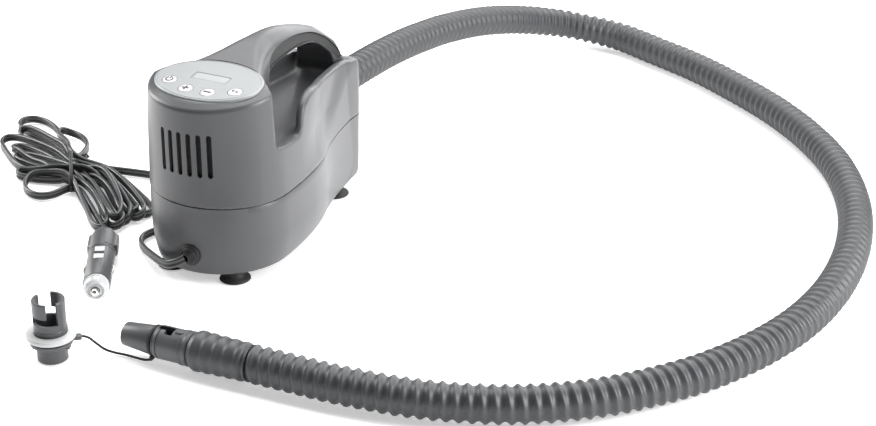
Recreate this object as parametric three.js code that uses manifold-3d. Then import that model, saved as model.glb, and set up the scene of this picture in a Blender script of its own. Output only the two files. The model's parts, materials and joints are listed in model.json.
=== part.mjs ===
// A 12 V electric air mattress pump: two housings with a handle, a two-stage blower, a control panel,
// a corrugated hose with a bayonet nozzle, a loose valve adapter and a hanked lead with a socket plug.
// Millimetres, +Z up. The pump's front looks along -Y. The origin is under its middle, on the floor.
import * as THREE from "three";
import { mergeVertices } from "three/addons/utils/BufferGeometryUtils.js";
import Module from "manifold-3d";

const wasm = await Module();
wasm.setup();

// Driving dimensions of the housings
const GAP = 0.3;
const WALL = 2.5;
const FRONT_Y = -116;
const REAR_Y = 116;
const LOBE_R = 55.5;
const LOBE_Y = FRONT_Y + LOBE_R;
const REAR_HALF = 29;
const REAR_CORNER = 12;
const BASE_Z = 8.5;
const SEAM_Z = 66;
const LEDGE_Z = 102;
const CUT_TOP_Z = 200;

// Handle and the hand gap under it
const HANDLE_HALF = 16;
const GRIP_HALF = 14.5;
const GRIP_T = 6.5;

// Control panel: its plane leans towards the user
const PANEL_TILT = THREE.MathUtils.degToRad(6.8);
const PANEL_Y = -74.5;
const PANEL_Z = 156.3;
const PANEL_A = 46.5;
const PANEL_B = 31.8;
const PANEL_T = 2.4;
const PANEL_PROUD = 1;
const BUTTON_R = 5.6;
const BUTTONS = {
  button_power: [-30, -10],
  button_plus: [-10, -18.2],
  button_minus: [10, -18.2],
  button_mode: [30, -10],
};

// Blower
const FAN_Y = -50;
const FAN_R = 45;
const SHAFT_R = 2;
const BORE_R = SHAFT_R + GAP;

// Air outlet at the rear
const OUTLET_Z = 83;
const SOCKET_R = 14.6;
const SOCKET_BORE = 12.8;
const FLAP_PIN_Y = 86;
const FLAP_PIN_Z = OUTLET_Z + 10.2;

// Feet and the screws that pass through them
const FEET = [[29, -95.5], [-29, -95.5], [21.5, 80], [-21.5, 80]];
const FOOT_R = 12.6;
const SCREW_R = 1.5;
const COLUMN_R = 4.2;
const COLUMN_WEB_Z = 48;
const BOSS_TOP_Z = 88;

// Lead, hose and tether
const LEAD_R = 2.7;
const LEAD_EXIT = [4, 24];
const HOSE_R = 14.2;
const TETHER_R = 1;

const root = new THREE.Group();

// ---------------------------------------------------------------- shape helpers

function solid(geometry) {
  const plain = geometry.index ? geometry.toNonIndexed() : geometry.clone();
  plain.deleteAttribute("normal");
  plain.deleteAttribute("uv");
  const merged = mergeVertices(plain, 1e-4);
  const vertProperties = merged.attributes.position.array;
  const triVerts = new Uint32Array(merged.index.array);
  return new wasm.Manifold(new wasm.Mesh({ numProp: 3, vertProperties, triVerts }));
}

function geometryOf(made) {
  const mesh = made.getMesh();
  const positions = new THREE.BufferAttribute(Float32Array.from(mesh.vertProperties), 3);
  const geometry = new THREE.BufferGeometry().setAttribute("position", positions);
  geometry.setIndex(new THREE.BufferAttribute(Uint32Array.from(mesh.triVerts), 1));
  const flat = geometry.toNonIndexed();
  flat.computeVertexNormals();
  return flat;
}

function join(...geometries) {
  return geometryOf(geometries.map(solid).reduce((sum, next) => sum.add(next)));
}

function cut(body, ...tools) {
  return geometryOf(tools.map(solid).reduce((rest, tool) => rest.subtract(tool), solid(body)));
}

function common(...geometries) {
  return geometryOf(geometries.map(solid).reduce((kept, next) => kept.intersect(next)));
}

function box(x0, x1, y0, y1, z0, z1) {
  const geometry = new THREE.BoxGeometry(x1 - x0, y1 - y0, z1 - z0);
  return geometry.translate((x0 + x1) / 2, (y0 + y1) / 2, (z0 + z1) / 2);
}

// A solid of revolution about Z from [radius, height] points; a ring profile closes on itself.
function lathe(profile, sides = 24) {
  const points = profile.map(([r, z]) => new THREE.Vector2(r, z));
  if (profile[0][0] > 0) points.push(points[0].clone());
  return new THREE.LatheGeometry(points, sides).rotateX(Math.PI / 2);
}

function rodZ(x, y, z0, z1, r, sides = 16) {
  const geometry = new THREE.CylinderGeometry(r, r, z1 - z0, sides).rotateX(Math.PI / 2);
  return geometry.translate(x, y, (z0 + z1) / 2);
}

function rodX(x0, x1, y, z, r, sides = 12) {
  const geometry = new THREE.CylinderGeometry(r, r, x1 - x0, sides).rotateZ(Math.PI / 2);
  return geometry.translate((x0 + x1) / 2, y, z);
}

function rodY(x, y0, y1, z, r, sides = 24) {
  return new THREE.CylinderGeometry(r, r, y1 - y0, sides).translate(x, (y0 + y1) / 2, z);
}

function shapeOf(points) {
  return new THREE.Shape(points.map(([x, y]) => new THREE.Vector2(x, y)));
}

function prismZ(points, z0, z1) {
  const settings = { depth: z1 - z0, bevelEnabled: false };
  return new THREE.ExtrudeGeometry(shapeOf(points), settings).translate(0, 0, z0);
}

// Points are [y, z]; the prism runs along X.
function prismX(points, x0, x1) {
  const settings = { depth: x1 - x0, bevelEnabled: false };
  const turn = new THREE.Matrix4().set(0, 0, 1, x0, 1, 0, 0, 0, 0, 1, 0, 0, 0, 0, 0, 1);
  return new THREE.ExtrudeGeometry(shapeOf(points), settings).applyMatrix4(turn);
}

function smoothLoop(points, count) {
  const curve = new THREE.CatmullRomCurve3(points.map(([a, b]) => new THREE.Vector3(a, b, 0)), true);
  return curve.getPoints(count).slice(0, -1).map((p) => [p.x, p.y]);
}

// A round bar along a hand-chosen route.
function bar(route, r, sides, steps) {
  const path = new THREE.CatmullRomCurve3(route.map((p) => new THREE.Vector3(...p)), false,
    "centripetal");
  const ring = [];
  for (let i = 0; i < sides; i++) {
    const a = (2 * Math.PI * i) / sides;
    ring.push([r * Math.cos(a), r * Math.sin(a)]);
  }
  return new THREE.ExtrudeGeometry(shapeOf(ring), { steps, extrudePath: path, bevelEnabled: false });
}

function add(name, geometry, color, roughness, metalness = 0, parent = root) {
  const material = new THREE.MeshStandardMaterial({ color, roughness, metalness });
  const mesh = new THREE.Mesh(geometry, material);
  mesh.name = name;
  parent.add(mesh);
  return mesh;
}

const GREY = 0x6d6f71;
const DARK = 0x2b2c2d;
const BLACK = 0x17181a;
const WHITE = 0xe9eaea;
const STEEL = 0xb7babd;

// ---------------------------------------------------------------- housings

// The plan of the body: a round front lobe, slim waisted sides and a rear end with round corners.
function planOutline(inset) {
  const side = new THREE.Path();
  side.absarc(0, LOBE_Y, LOBE_R, -Math.PI / 2, 0, false);
  side.bezierCurveTo(LOBE_R, -25, 50, 7, 44, 24);
  side.bezierCurveTo(37.5, 42, 32, 72, REAR_HALF, REAR_Y - REAR_CORNER);
  side.quadraticCurveTo(REAR_HALF, REAR_Y, REAR_HALF - REAR_CORNER, REAR_Y);
  side.lineTo(0, REAR_Y);
  const along = side.getPoints(6);
  const right = along.map((p, i) => {
    const before = along[Math.max(i - 1, 0)];
    const after = along[Math.min(i + 1, along.length - 1)];
    const step = after.clone().sub(before).normalize();
    const onAxis = i === 0 || i === along.length - 1;
    return [onAxis ? 0 : p.x - inset * step.y, p.y + inset * (onAxis ? Math.sign(-p.y) : step.x)];
  });
  const left = right.slice(1, -1).reverse().map(([x, y]) => [-x, y]);
  return [...right, ...left];
}

function panelPlaneZ(y) {
  return PANEL_Z + Math.tan(PANEL_TILT) * (y - PANEL_Y);
}

// Side view of the upper housing from the seam up: tower, handle crown and rear end.
function crownProfile() {
  const crown = [[-40, 159.6], [-24, 163.5], [-8, 167.4], [10, 169.4], [30, 168.8], [50, 164.6],
    [68, 157.4],
    [84, 147], [97, 134.5], [107, 120], [113, 109], [116, 98]];
  return [[-118, SEAM_Z + GAP], [-118, panelPlaneZ(-118)], ...crown, [118, SEAM_Z + GAP]];
}

// Half width of the handle strap, which flares forward into the tower.
const STRAP_PLAN = [[60, -70], [45, -61], [34, -48], [25, -31], [19, -14], [HANDLE_HALF, 4],
  [HANDLE_HALF, 80],
  [20, 96], [32, 106]];

// The scoop round the handle: a low floor, inside walls that follow the plan of the body.
const SCOOP_FLOOR = [[-76, 112], [-66, 107], [-50, 104.6], [-20, 104], [60, 104], [90, 105],
  [99, 110], [108, 118],
  [120, 118]];
const SCOOP_WALL = 6.5;
const SCOOP_FRONT_Y = -30;

// Top edge of the outer walls of the scoop, from the tower to the rear end.
const WALL_TOP = [[-76, 103], [-40, 102.5], [-33, 108], [-30, 120], [-26, 127], [-17, 131.5],
  [-6, 133], [8, 131],
  [30, 126], [50, 122.5], [75, 119.5], [96, 117.5], [107, 114], [113, 107], [116, 99], [120, 90]];

const HAND_GAP = [[-19, 133], [-15, 143], [-5, 149.5], [10, 152], [28, 152.2], [46, 149.6],
  [62, 145], [76, 137.5],
  [84, 130.5], [88, 124], [90, 116], [91, 106]];

// What is cut away beside the handle strap: all above the walls, and the scoop inside them.
function besideHandle(sign) {
  const outside = [...STRAP_PLAN, [80, 106], [80, -70]].map(([x, y]) => [sign * x, y]);
  const overWalls = prismX([...WALL_TOP, [120, CUT_TOP_Z], [-76, CUT_TOP_Z]], -80, 80);
  const overFloor = prismX([...SCOOP_FLOOR, [120, CUT_TOP_Z], [-76, CUT_TOP_Z]], -80, 80);
  const side = prismZ(outside, 90, CUT_TOP_Z);
  return join(common(side, overWalls), common(side, overFloor, scoopPlan()));
}

function scoopPlan() {
  const front = box(-80, 80, -80, SCOOP_FRONT_Y, 90, CUT_TOP_Z);
  return join(prismZ(planOutline(SCOOP_WALL), 90, CUT_TOP_Z), front);
}

// The hand gap through the handle; grow lifts only its upper edge, for the grip band above it.
function handGap(grow) {
  const floor = SCOOP_FLOOR.filter(([y]) => y > -24 && y < 88);
  const shifted = HAND_GAP.map(([y, z]) => [y, z > 120 ? z + grow : z]);
  return prismX([[-21, 104], ...floor, ...shifted.reverse()], -17, 17);
}

function upperCavity() {
  const inner = planOutline(WALL);
  const belowRecess = prismZ(inner, SEAM_Z - 1, LEDGE_Z);
  const towerTop = [[-118, 90], [-118, panelPlaneZ(-118) - 6], [-72, panelPlaneZ(-72) - 6], [-72, 90]];
  const tower = common(prismZ(inner, 90, CUT_TOP_Z), prismX(towerTop, -80, 80));
  return join(belowRecess, tower);
}

function panelPocket() {
  const seat = new THREE.CylinderGeometry(1, 1, 30, 48).rotateX(Math.PI / 2);
  seat.scale(PANEL_A + GAP, PANEL_B + GAP, 1).translate(0, 0, 15 - PANEL_T - GAP + PANEL_PROUD);
  const under = new THREE.CylinderGeometry(1, 1, 12, 40).rotateX(Math.PI / 2);
  under.scale(PANEL_A - 4, PANEL_B - 4, 1).translate(0, 0, -7);
  return join(seat, under).rotateX(PANEL_TILT).translate(0, PANEL_Y, PANEL_Z);
}

const VENT_COUNT = 6;
const VENT_PITCH = THREE.MathUtils.degToRad(8.8);

function ventSlots() {
  const slots = [];
  for (let i = 0; i < VENT_COUNT; i++) {
    const turn = (i - (VENT_COUNT - 1) / 2) * VENT_PITCH;
    const slot = box(-1.6, 1.6, -LOBE_R - 4, -LOBE_R + 8, 93, 129).rotateZ(turn);
    slots.push(slot.translate(0, LOBE_Y, 0));
  }
  return slots;
}

// A screw boss hanging off the side wall by a web.
function makeBoss(x, y) {
  const reach = 12 * Math.sign(x);
  const web = box(Math.min(x, x + reach), Math.max(x, x + reach), y - 1.2, y + 1.2, SEAM_Z + GAP,
    BOSS_TOP_Z);
  const post = rodZ(x, y, SEAM_Z + GAP, BOSS_TOP_Z, COLUMN_R);
  return cut(join(post, web), rodZ(x, y, SEAM_Z, BOSS_TOP_Z - 3, SCREW_R + GAP, 12));
}

function makeUpperHousing() {
  const outer = common(prismZ(planOutline(0), SEAM_Z + GAP, CUT_TOP_Z), prismX(crownProfile(), -80, 80));
  const bosses = FEET.map(([x, y]) => common(makeBoss(x, y), outer));
  const shell = cut(outer, besideHandle(1), besideHandle(-1), handGap(0), upperCavity());
  const grip = common(handGap(GRIP_T + GAP), box(-80, 80, -14, 86, 126, 170));
  const holes = [panelPocket(), rodY(0, 100, 120, OUTLET_Z, SOCKET_R + GAP), ...ventSlots()];
  return cut(join(shell, ...bosses), grip, ...holes);
}

function makeLowerHousing() {
  const outer = prismZ(planOutline(0), BASE_Z, SEAM_Z);
  const room = prismZ(planOutline(WALL), BASE_Z + WALL, SEAM_Z + 1);
  const columns = FEET.map(([x, y]) => rodZ(x, y, BASE_Z + 1, SEAM_Z, COLUMN_R + 0.9));
  const drills = FEET.flatMap(([x, y]) => [
    rodZ(x, y, BASE_Z - 1, COLUMN_WEB_Z, 3.6),
    rodZ(x, y, COLUMN_WEB_Z - 1, SEAM_Z + 1, SCREW_R + GAP, 12),
  ]);
  const leadHole = rodY(LEAD_EXIT[0], FRONT_Y - 2, FRONT_Y + 8, LEAD_EXIT[1], 7 + GAP, 24);
  return cut(join(cut(outer, room), ...columns), ...drills, leadHole);
}

function makeGrip() {
  const band = cut(handGap(GRIP_T), handGap(0));
  return common(band, box(-GRIP_HALF, GRIP_HALF, -13.5, 85.5, 126.5, 170));
}

add("lower_housing", makeLowerHousing(), GREY, 0.55);
add("upper_housing", makeUpperHousing(), GREY, 0.55);
add("handle_grip", makeGrip(), DARK, 0.7);

// ---------------------------------------------------------------- control panel

const panelGroup = new THREE.Group();
panelGroup.position.set(0, PANEL_Y, PANEL_Z);
panelGroup.rotation.x = PANEL_TILT;
root.add(panelGroup);

function makePanel() {
  const plate = new THREE.CylinderGeometry(1, 1, PANEL_T, 48).rotateX(Math.PI / 2);
  plate.scale(PANEL_A, PANEL_B, 1).translate(0, 0, PANEL_PROUD - PANEL_T / 2);
  const holes = Object.values(BUTTONS).map(([x, y]) => rodZ(x, y, -5, 5, BUTTON_R + GAP));
  return cut(plate, ...holes, box(-16.3, 16.3, -1.8, 8.8, -5, 5));
}

function makeButton([x, y]) {
  const cap = rodZ(x, y, -1.6, 1.7, BUTTON_R);
  const flange = rodZ(x, y, -3, -1.8, BUTTON_R + 1);
  return join(cap, rodZ(x, y, -1.9, -1.5, BUTTON_R - 1), flange, rodZ(x, y, -4, -2.9, 2, 8));
}

function makeControlBoard() {
  const plate = new THREE.CylinderGeometry(1, 1, 1.6, 40).rotateX(Math.PI / 2);
  plate.scale(PANEL_A - 6, PANEL_B - 6, 1).translate(0, 0, -8.2);
  const switches = Object.values(BUTTONS).map(([x, y]) => box(x - 3, x + 3, y - 3, y + 3, -7.6, -5.2));
  return join(plate, ...switches);
}

add("control_panel", makePanel(), 0xc5c8c9, 0.35, 0.3, panelGroup);
const windowPane = box(-16, 16, -1.5, 8.5, PANEL_PROUD - 1.2, PANEL_PROUD);
add("display_window", windowPane, 0xdfe3e4, 0.15, 0, panelGroup);
add("display_module", box(-15, 15, -1, 8, -5.6, -0.7), 0x9fa89f, 0.4, 0, panelGroup);
for (const [name, place] of Object.entries(BUTTONS)) {
  add(name, makeButton(place), WHITE, 0.35, 0, panelGroup);
}
add("control_board", makeControlBoard(), 0x2e5a3a, 0.6, 0, panelGroup);

// ---------------------------------------------------------------- blower

function aboutFan(geometry) {
  return geometry.translate(0, FAN_Y, 0);
}

const DUCT_ROUTE = [[-20, 3.2, 32], [-20, 18, 33], [-17, 33, 41], [-11, 46, 57], [-5, 57, 74],
  [-1, 67, 86],
  [0, 74, OUTLET_Z], [0, 81, OUTLET_Z]];
const DUCT_R = 10.5;
const DUCT_BORE = 8.7;

function makeVoluteLower() {
  const cup = aboutFan(lathe([[0, 12], [FAN_R, 12], [FAN_R, 50], [FAN_R - 2, 50], [FAN_R - 2, 14],
    [0, 14]], 32));
  const stub = cut(join(cup, rodY(-20, -12, 1.5, 32, DUCT_R)), rodY(-20, -22, 3, 32, DUCT_BORE));
  return cut(stub, aboutFan(rodZ(0, 0, 14, 49, FAN_R - 2.2, 32)));
}

function makeImpeller(z, height) {
  const hub = cut(rodZ(0, 0, z, z + height, 7), rodZ(0, 0, z - 1, z + height + 1, BORE_R, 16));
  const back = cut(rodZ(0, 0, z, z + 1.6, 38, 28), rodZ(0, 0, z - 1, z + 3, 6, 16));
  const blades = [];
  for (let i = 0; i < 9; i++) {
    blades.push(box(5.5, 37, -0.7, 0.7, z + 1, z + height - 1).rotateZ((i * 2 * Math.PI) / 9));
  }
  return aboutFan(join(hub, back, ...blades));
}

function makeMotorMount() {
  const ring = cut(rodZ(0, 0, 53.6, 58, 24), rodZ(0, 0, 50, 60, 15));
  const legs = [0, 1, 2].map((i) => box(20, 43, -4, 4, 53.6, 56).rotateZ((i * 2 * Math.PI) / 3));
  return aboutFan(join(ring, ...legs));
}

function ring(r, bore, z0, z1, sides = 24) {
  return lathe([[bore, z0], [r, z0], [r, z1], [bore, z1]], sides);
}

add("volute_lower", makeVoluteLower(), BLACK, 0.6);
add("impeller_lower", makeImpeller(16.5, 12), WHITE, 0.5);
add("diffuser_plate", aboutFan(ring(FAN_R - 2.6, 9, 30, 32, 32)), BLACK, 0.6);
add("impeller_upper", makeImpeller(34, 12), WHITE, 0.5);
add("volute_cover", aboutFan(ring(FAN_R, 14, 50.4, 53, 32)), BLACK, 0.6);
add("motor_mount", makeMotorMount(), BLACK, 0.6);
add("blower_motor", aboutFan(ring(19, BORE_R, 58.5, 98)), STEEL, 0.35, 0.9);
add("motor_shaft", aboutFan(rodZ(0, 0, 15.5, 100, SHAFT_R, 12)), STEEL, 0.3, 1);

// ---------------------------------------------------------------- air path and electrics

function makeIntakeFilter() {
  const inner = LOBE_R - WALL - GAP;
  const sheet = ring(inner, inner - 4, 88, 134, 64).translate(0, LOBE_Y, 0);
  const wedge = box(-24, 24, -130, LOBE_Y - 12, 80, 140);
  return common(sheet, wedge);
}

function makeDuct() {
  return cut(bar(DUCT_ROUTE, DUCT_R, 12, 10), bar(ductBoreRoute(), DUCT_BORE, 12, 12));
}

// The bore runs a little past both ends of the duct.
function ductBoreRoute() {
  const first = DUCT_ROUTE[0];
  const last = DUCT_ROUTE[DUCT_ROUTE.length - 1];
  return [[first[0], first[1] - 2, first[2]], ...DUCT_ROUTE, [last[0], last[1] + 2, last[2]]];
}

function makeSocket() {
  const y0 = 82;
  const y1 = REAR_Y - GAP;
  const barrel = cut(rodY(0, y0, y1, OUTLET_Z, SOCKET_R), rodY(0, y0 + 1.5, y1 + 1, OUTLET_Z,
    SOCKET_BORE));
  return cut(barrel, rodY(0, y0 - 1, y0 + 3, OUTLET_Z, DUCT_BORE));
}

function makeFlap() {
  const disc = rodY(0, FLAP_PIN_Y - 0.6, FLAP_PIN_Y + 0.8, OUTLET_Z - 0.6, 10.2);
  const lug = rodX(-3, 3, FLAP_PIN_Y + 0.1, FLAP_PIN_Z, 1.7);
  return cut(join(disc, lug), rodX(-6, 6, FLAP_PIN_Y + 0.1, FLAP_PIN_Z, 1.15));
}

function makePowerBoard() {
  const plate = box(20, 21.6, 8, 62, 14, 58);
  const cans = [20, 34].map((y) => rodX(9, 20.5, y, 30, 5));
  return join(plate, ...cans, box(14, 20.5, 44, 58, 20, 40), box(16, 20.5, 14, 40, 44, 54));
}

function makeHoseConnector() {
  const profile = [[9.5, 107], [12.3, 107], [12.3, 118], [17.4, 118], [18, 119.5], [18, 124],
    [16.4, 126],
    [16, 139.7], [9.5, 139.7]];
  const turned = lathe(profile).rotateX(-Math.PI / 2);
  return turned.translate(0, 0, OUTLET_Z);
}

add("intake_filter", makeIntakeFilter(), BLACK, 0.95);
add("outlet_duct", makeDuct(), DARK, 0.6);
add("outlet_socket", makeSocket(), BLACK, 0.5);
add("check_flap", makeFlap(), DARK, 0.8);
add("flap_pin", rodX(-5.8, 5.8, FLAP_PIN_Y + 0.1, FLAP_PIN_Z, 0.8, 10), STEEL, 0.3, 1);
add("power_board", makePowerBoard(), 0x2e5a3a, 0.6);
add("hose_connector", makeHoseConnector(), DARK, 0.6);

// ---------------------------------------------------------------- feet and screws

function makeFoot([x, y]) {
  const profile = [[3.8, 0], [FOOT_R, 0], [FOOT_R, 1.6], [8, 4.2], [7, BASE_Z - GAP],
    [3.8, BASE_Z - GAP]];
  return lathe(profile, 20).translate(x, y, 0);
}

function makeScrew([x, y]) {
  const z = COLUMN_WEB_Z - GAP;
  const profile = [[0, z - 2.6], [2.9, z - 2.6], [2.9, z], [SCREW_R, z], [SCREW_R, z + 34], [0, z + 35]];
  return lathe(profile, 10).translate(x, y, 0);
}

const CORNERS = ["front_right", "front_left", "rear_right", "rear_left"];
CORNERS.forEach((corner, i) => {
  add("foot_" + corner, makeFoot(FEET[i]), BLACK, 0.85);
  add("screw_" + corner, makeScrew(FEET[i]), STEEL, 0.35, 1);
});

// ---------------------------------------------------------------- 12 V lead

const [LEAD_X, LEAD_Z] = LEAD_EXIT;
const LEAD_ROUTE = [[4, -124.4, 24], [3, -127.9, 23.4], [-3, -130.5, 21.2], [-11, -129, 18],
  [-22, -121.5, 14],
  [-35, -111.5, 10.5], [-48, -101.5, 7.5], [-60, -92, 5], [-70.5, -82, 3.4], [-75.5, -71, 3],
  [-72, -59, 3],
  [-66, -46, 3], [-63, -28, 3], [-64, -8, 3], [-69, 12, 3], [-80, 27, 3], [-96, 35.5, 3],
  [-116, 37.5, 3],
  [-136, 35, 4]];

// Outer shape of the tied hank: two lobes of loops with a pinched middle.
const HANK_OUTLINE = [[-317, 80], [-290, 88], [-257, 76], [-234, 46], [-222, 24], [-214, 24.5],
  [-204, 30], [-188, 25],
  [-168, 20], [-139, 11], [-108, -8], [-93, -30], [-97, -58], [-106, -75], [-124, -70], [-150, -42],
  [-166, -21],
  [-174, -16], [-180.5, -19], [-188, -25], [-194, -44], [-204, -54], [-217, -45], [-240, -20],
  [-278, 10], [-303, 40]];
const HANK_H = 18;
const TIE_AT = [-197, 3];
const TIE_TURN = THREE.MathUtils.degToRad(36);
const TAIL_ROUTE = [[-109.5, -77.5, 5], [-106, -81, 6.5], [-102.8, -84.8, 8.6], [-99.8, -88.2, 10.9]];

function makeGrommet() {
  const body = lathe([[3.2, 0], [7, 0], [7, 5.2], [8.6, 5.2], [8.6, 6.6], [7.6, 8], [4.6, 12.6],
    [3.2, 13]], 24);
  return body.rotateX(Math.PI / 2).translate(LEAD_X, FRONT_Y + 5, LEAD_Z);
}

function makeClamp() {
  const block = box(LEAD_X - 7, LEAD_X + 7, FRONT_Y + 5.6, FRONT_Y + 12, LEAD_Z - 6, LEAD_Z + 6);
  return cut(block, rodY(LEAD_X, FRONT_Y, FRONT_Y + 20, LEAD_Z, 3.2, 16));
}

// The tie is a bent strap round the hank's pinched middle.
function makeTie() {
  const outer = box(-4, 4, -32, 32, 0.2, HANK_H + 2.6);
  const inner = box(-6, 6, -30.2, 30.2, -1, HANK_H + 0.8);
  return cut(outer, inner).rotateZ(TIE_TURN).translate(...TIE_AT, 0);
}

add("cord_grommet", makeGrommet(), BLACK, 0.7);
add("cord_clamp", makeClamp(), BLACK, 0.7);
add("power_cord", bar(LEAD_ROUTE, LEAD_R, 8, 32), DARK, 0.6);
add("cord_hank", prismZ(smoothLoop(HANK_OUTLINE, 58), 0.2, HANK_H), DARK, 0.6);
add("cord_tail", bar(TAIL_ROUTE, LEAD_R, 8, 4), DARK, 0.6);
add("cord_tie", makeTie(), BLACK, 0.6);

// ---------------------------------------------------------------- vehicle socket plug, along its own +X

const plugGroup = new THREE.Group();
plugGroup.position.set(-99.2, -88.9, 11.6);
plugGroup.rotation.z = THREE.MathUtils.degToRad(-59.3);
root.add(plugGroup);

function aboutX(geometry) {
  return geometry.rotateZ(-Math.PI / 2);
}

// Solid of revolution about X from [radius, x] points.
function turnedX(profile, sides = 24) {
  const points = profile.map(([r, x]) => new THREE.Vector2(r, x));
  if (profile[0][0] > 0) points.push(points[0].clone());
  return aboutX(new THREE.LatheGeometry(points, sides));
}

function makePlugGrip() {
  const dome = turnedX([[0, 0.4], [3.4, 0.4], [4.2, 4], [8.6, 10], [11.3, 18], [11.5, 32],
    [10.6, 43], [0, 43]], 20);
  const wings = [1, -1].map((side) => box(16, 38, side * 9 - 3.2, side * 9 + 3.2, -4.5, 4.5));
  return join(dome, ...wings);
}

function makePlugBarrel() {
  const tube = turnedX([[0, 43.3], [10.7, 43.3], [10.7, 97], [7.3, 97], [7.3, 50], [0, 50]], 20);
  const slots = [1, -1].map((side) => box(64, 84, side * 9.5 - 4, side * 9.5 + 4, -2.8, 2.8));
  return cut(tube, ...slots, box(50.7, 71.3, -4.3, 4.3, 9.4, 12));
}

function makePlugContact(sign) {
  return box(65.2, 82.8, -1.6, 1.6, -2.4, 2.4).translate(0, sign * 10.5, 0);
}

add("plug_grip", makePlugGrip(), DARK, 0.5, 0, plugGroup);
add("plug_barrel", makePlugBarrel(), DARK, 0.5, 0, plugGroup);
function makePlugCap() {
  return turnedX([[3.5, 97.3], [10, 97.3], [9.6, 102], [7.4, 107.5], [3.5, 107.5]], 20);
}

function makePlugPin() {
  return turnedX([[0, 93.6], [5.6, 93.6], [5.6, 96.2], [3.1, 96.2], [3.1, 111], [2, 113], [0, 113]], 14);
}

add("plug_window", box(51, 71, -4, 4, 9.7, 10.9), WHITE, 0.2, 0, plugGroup);
add("plug_fuse", turnedX([[0, 54], [3.1, 54], [3.1, 84], [0, 84]], 12), 0xd8dcdc, 0.1, 0, plugGroup);
add("plug_cap", makePlugCap(), WHITE, 0.25, 0, plugGroup);
add("plug_pin", makePlugPin(), STEEL, 0.25, 1, plugGroup);
add("plug_contact_left", makePlugContact(1), STEEL, 0.3, 1, plugGroup);
add("plug_contact_right", makePlugContact(-1), STEEL, 0.3, 1, plugGroup);

// ---------------------------------------------------------------- hose and nozzle

const HOSE_ROUTE = [[0, 140.2, 83], [0, 152, 83], [0, 173, 82.3], [0, 213, 80], [0, 257, 75.7],
  [0, 297, 70],
  [2, 340, 63.5], [12, 412, 49.5], [32, 471, 34], [64, 508, 21.5], [109, 515, 15.8], [160, 495, 14.5],
  [213, 469, 14.5], [263, 437, 14.5], [314, 399, 14.5], [362, 353, 14.5], [406, 296, 14.5],
  [442, 222, 14.5],
  [462, 146, 14.5], [468, 76, 14.5], [463, 16, 14.5], [450, -34, 14.5], [432, -76, 14.5],
  [412, -110, 14.5],
  [369, -160, 14.5], [320, -195, 14.5], [262, -217, 14.5], [200, -227, 15], [155, -229, 15.5],
  [127.5, -229.6, 15.5]];

const nozzleGroup = new THREE.Group();
nozzleGroup.position.set(127.2, -229.6, 15.5);
nozzleGroup.rotation.z = THREE.MathUtils.degToRad(181.6);
root.add(nozzleGroup);

function makeNozzleTip() {
  const outside = [[11.8, 78.3], [11.8, 79.4], [10.2, 79.8], [10.2, 82.6], [11, 83], [8.8, 107]];
  return turnedX([[5.5, 78.3], ...outside, [6.6, 107]]);
}

function makeNozzleCollar() {
  const tube = turnedX([[9, 49.3], [13.4, 49.3], [13.4, 56], [12.6, 57], [12.6, 78], [9, 78]]);
  return cut(tube, box(64, 79, -3, 3, 7, 14), box(62, 68, -3, 6, 7, 14));
}

add("hose_tube", bar(HOSE_ROUTE, HOSE_R, 12, 40), DARK, 0.65);
function makeHoseCuff() {
  return turnedX([[9, 0.3], [15, 0.3], [15.2, 8], [14.2, 30], [13.4, 49], [9, 49]]);
}

add("hose_cuff", makeHoseCuff(), DARK, 0.75, 0, nozzleGroup);
add("nozzle_collar", makeNozzleCollar(), DARK, 0.5, 0, nozzleGroup);
add("nozzle_tip", makeNozzleTip(), DARK, 0.5, 0, nozzleGroup);

function makeTetherRing() {
  const band = turnedX([[10.5, 80.2], [12, 80.2], [12, 82.2], [10.5, 82.2]], 20);
  return join(band, box(80.2, 82.2, 5, 9, -12.6, -9));
}

add("tether_ring", makeTetherRing(), BLACK, 0.6, 0, nozzleGroup);

// ---------------------------------------------------------------- valve adapter

const ADAPTER = [-24, -265];

function makeAdapter() {
  const profile = [[8.5, 0], [11.4, 0], [11.4, 13], [16, 13.6], [16, 16], [12, 16.6], [12, 50],
    [9.6, 50], [8.5, 20]];
  const body = lathe(profile, 28);
  const mouth = box(-7, 5, -16, 16, 33, 60);
  const hook = box(-16, 16, -16, -2, 33, 42);
  const lug = box(11, 22, -3, 3, 14, 18).rotateZ(THREE.MathUtils.degToRad(37));
  return join(cut(body, mouth, hook), cut(lug, rodZ(0, 0, 0, 30, 10)));
}

const adapterGroup = new THREE.Group();
adapterGroup.position.set(ADAPTER[0], ADAPTER[1], 0);
root.add(adapterGroup);
add("adapter_body", makeAdapter(), DARK, 0.5, 0, adapterGroup);
add("adapter_gasket", ring(17.8, 12.4, 18.4, 22.4, 28), WHITE, 0.6, 0, adapterGroup);

const TETHER_ROUTE = [[-5.6, -251.2, 16], [-2.5, -249, 14.5], [1.5, -246, 9.5], [7, -243, 4],
  [14, -240.5, 1.6],
  [23, -239.6, 1.5], [32, -240.2, 1.8], [41.5, -240.9, 2.6]];
add("tether", bar(TETHER_ROUTE, TETHER_R, 8, 12), BLACK, 0.6);

export default root;
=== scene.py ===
"""A 12 V electric air mattress pump with its hose, valve adapter and hanked lead, on a pale floor."""
import json
import math

import bmesh
import bpy
import numpy as np
from mathutils import Matrix, Vector


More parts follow.
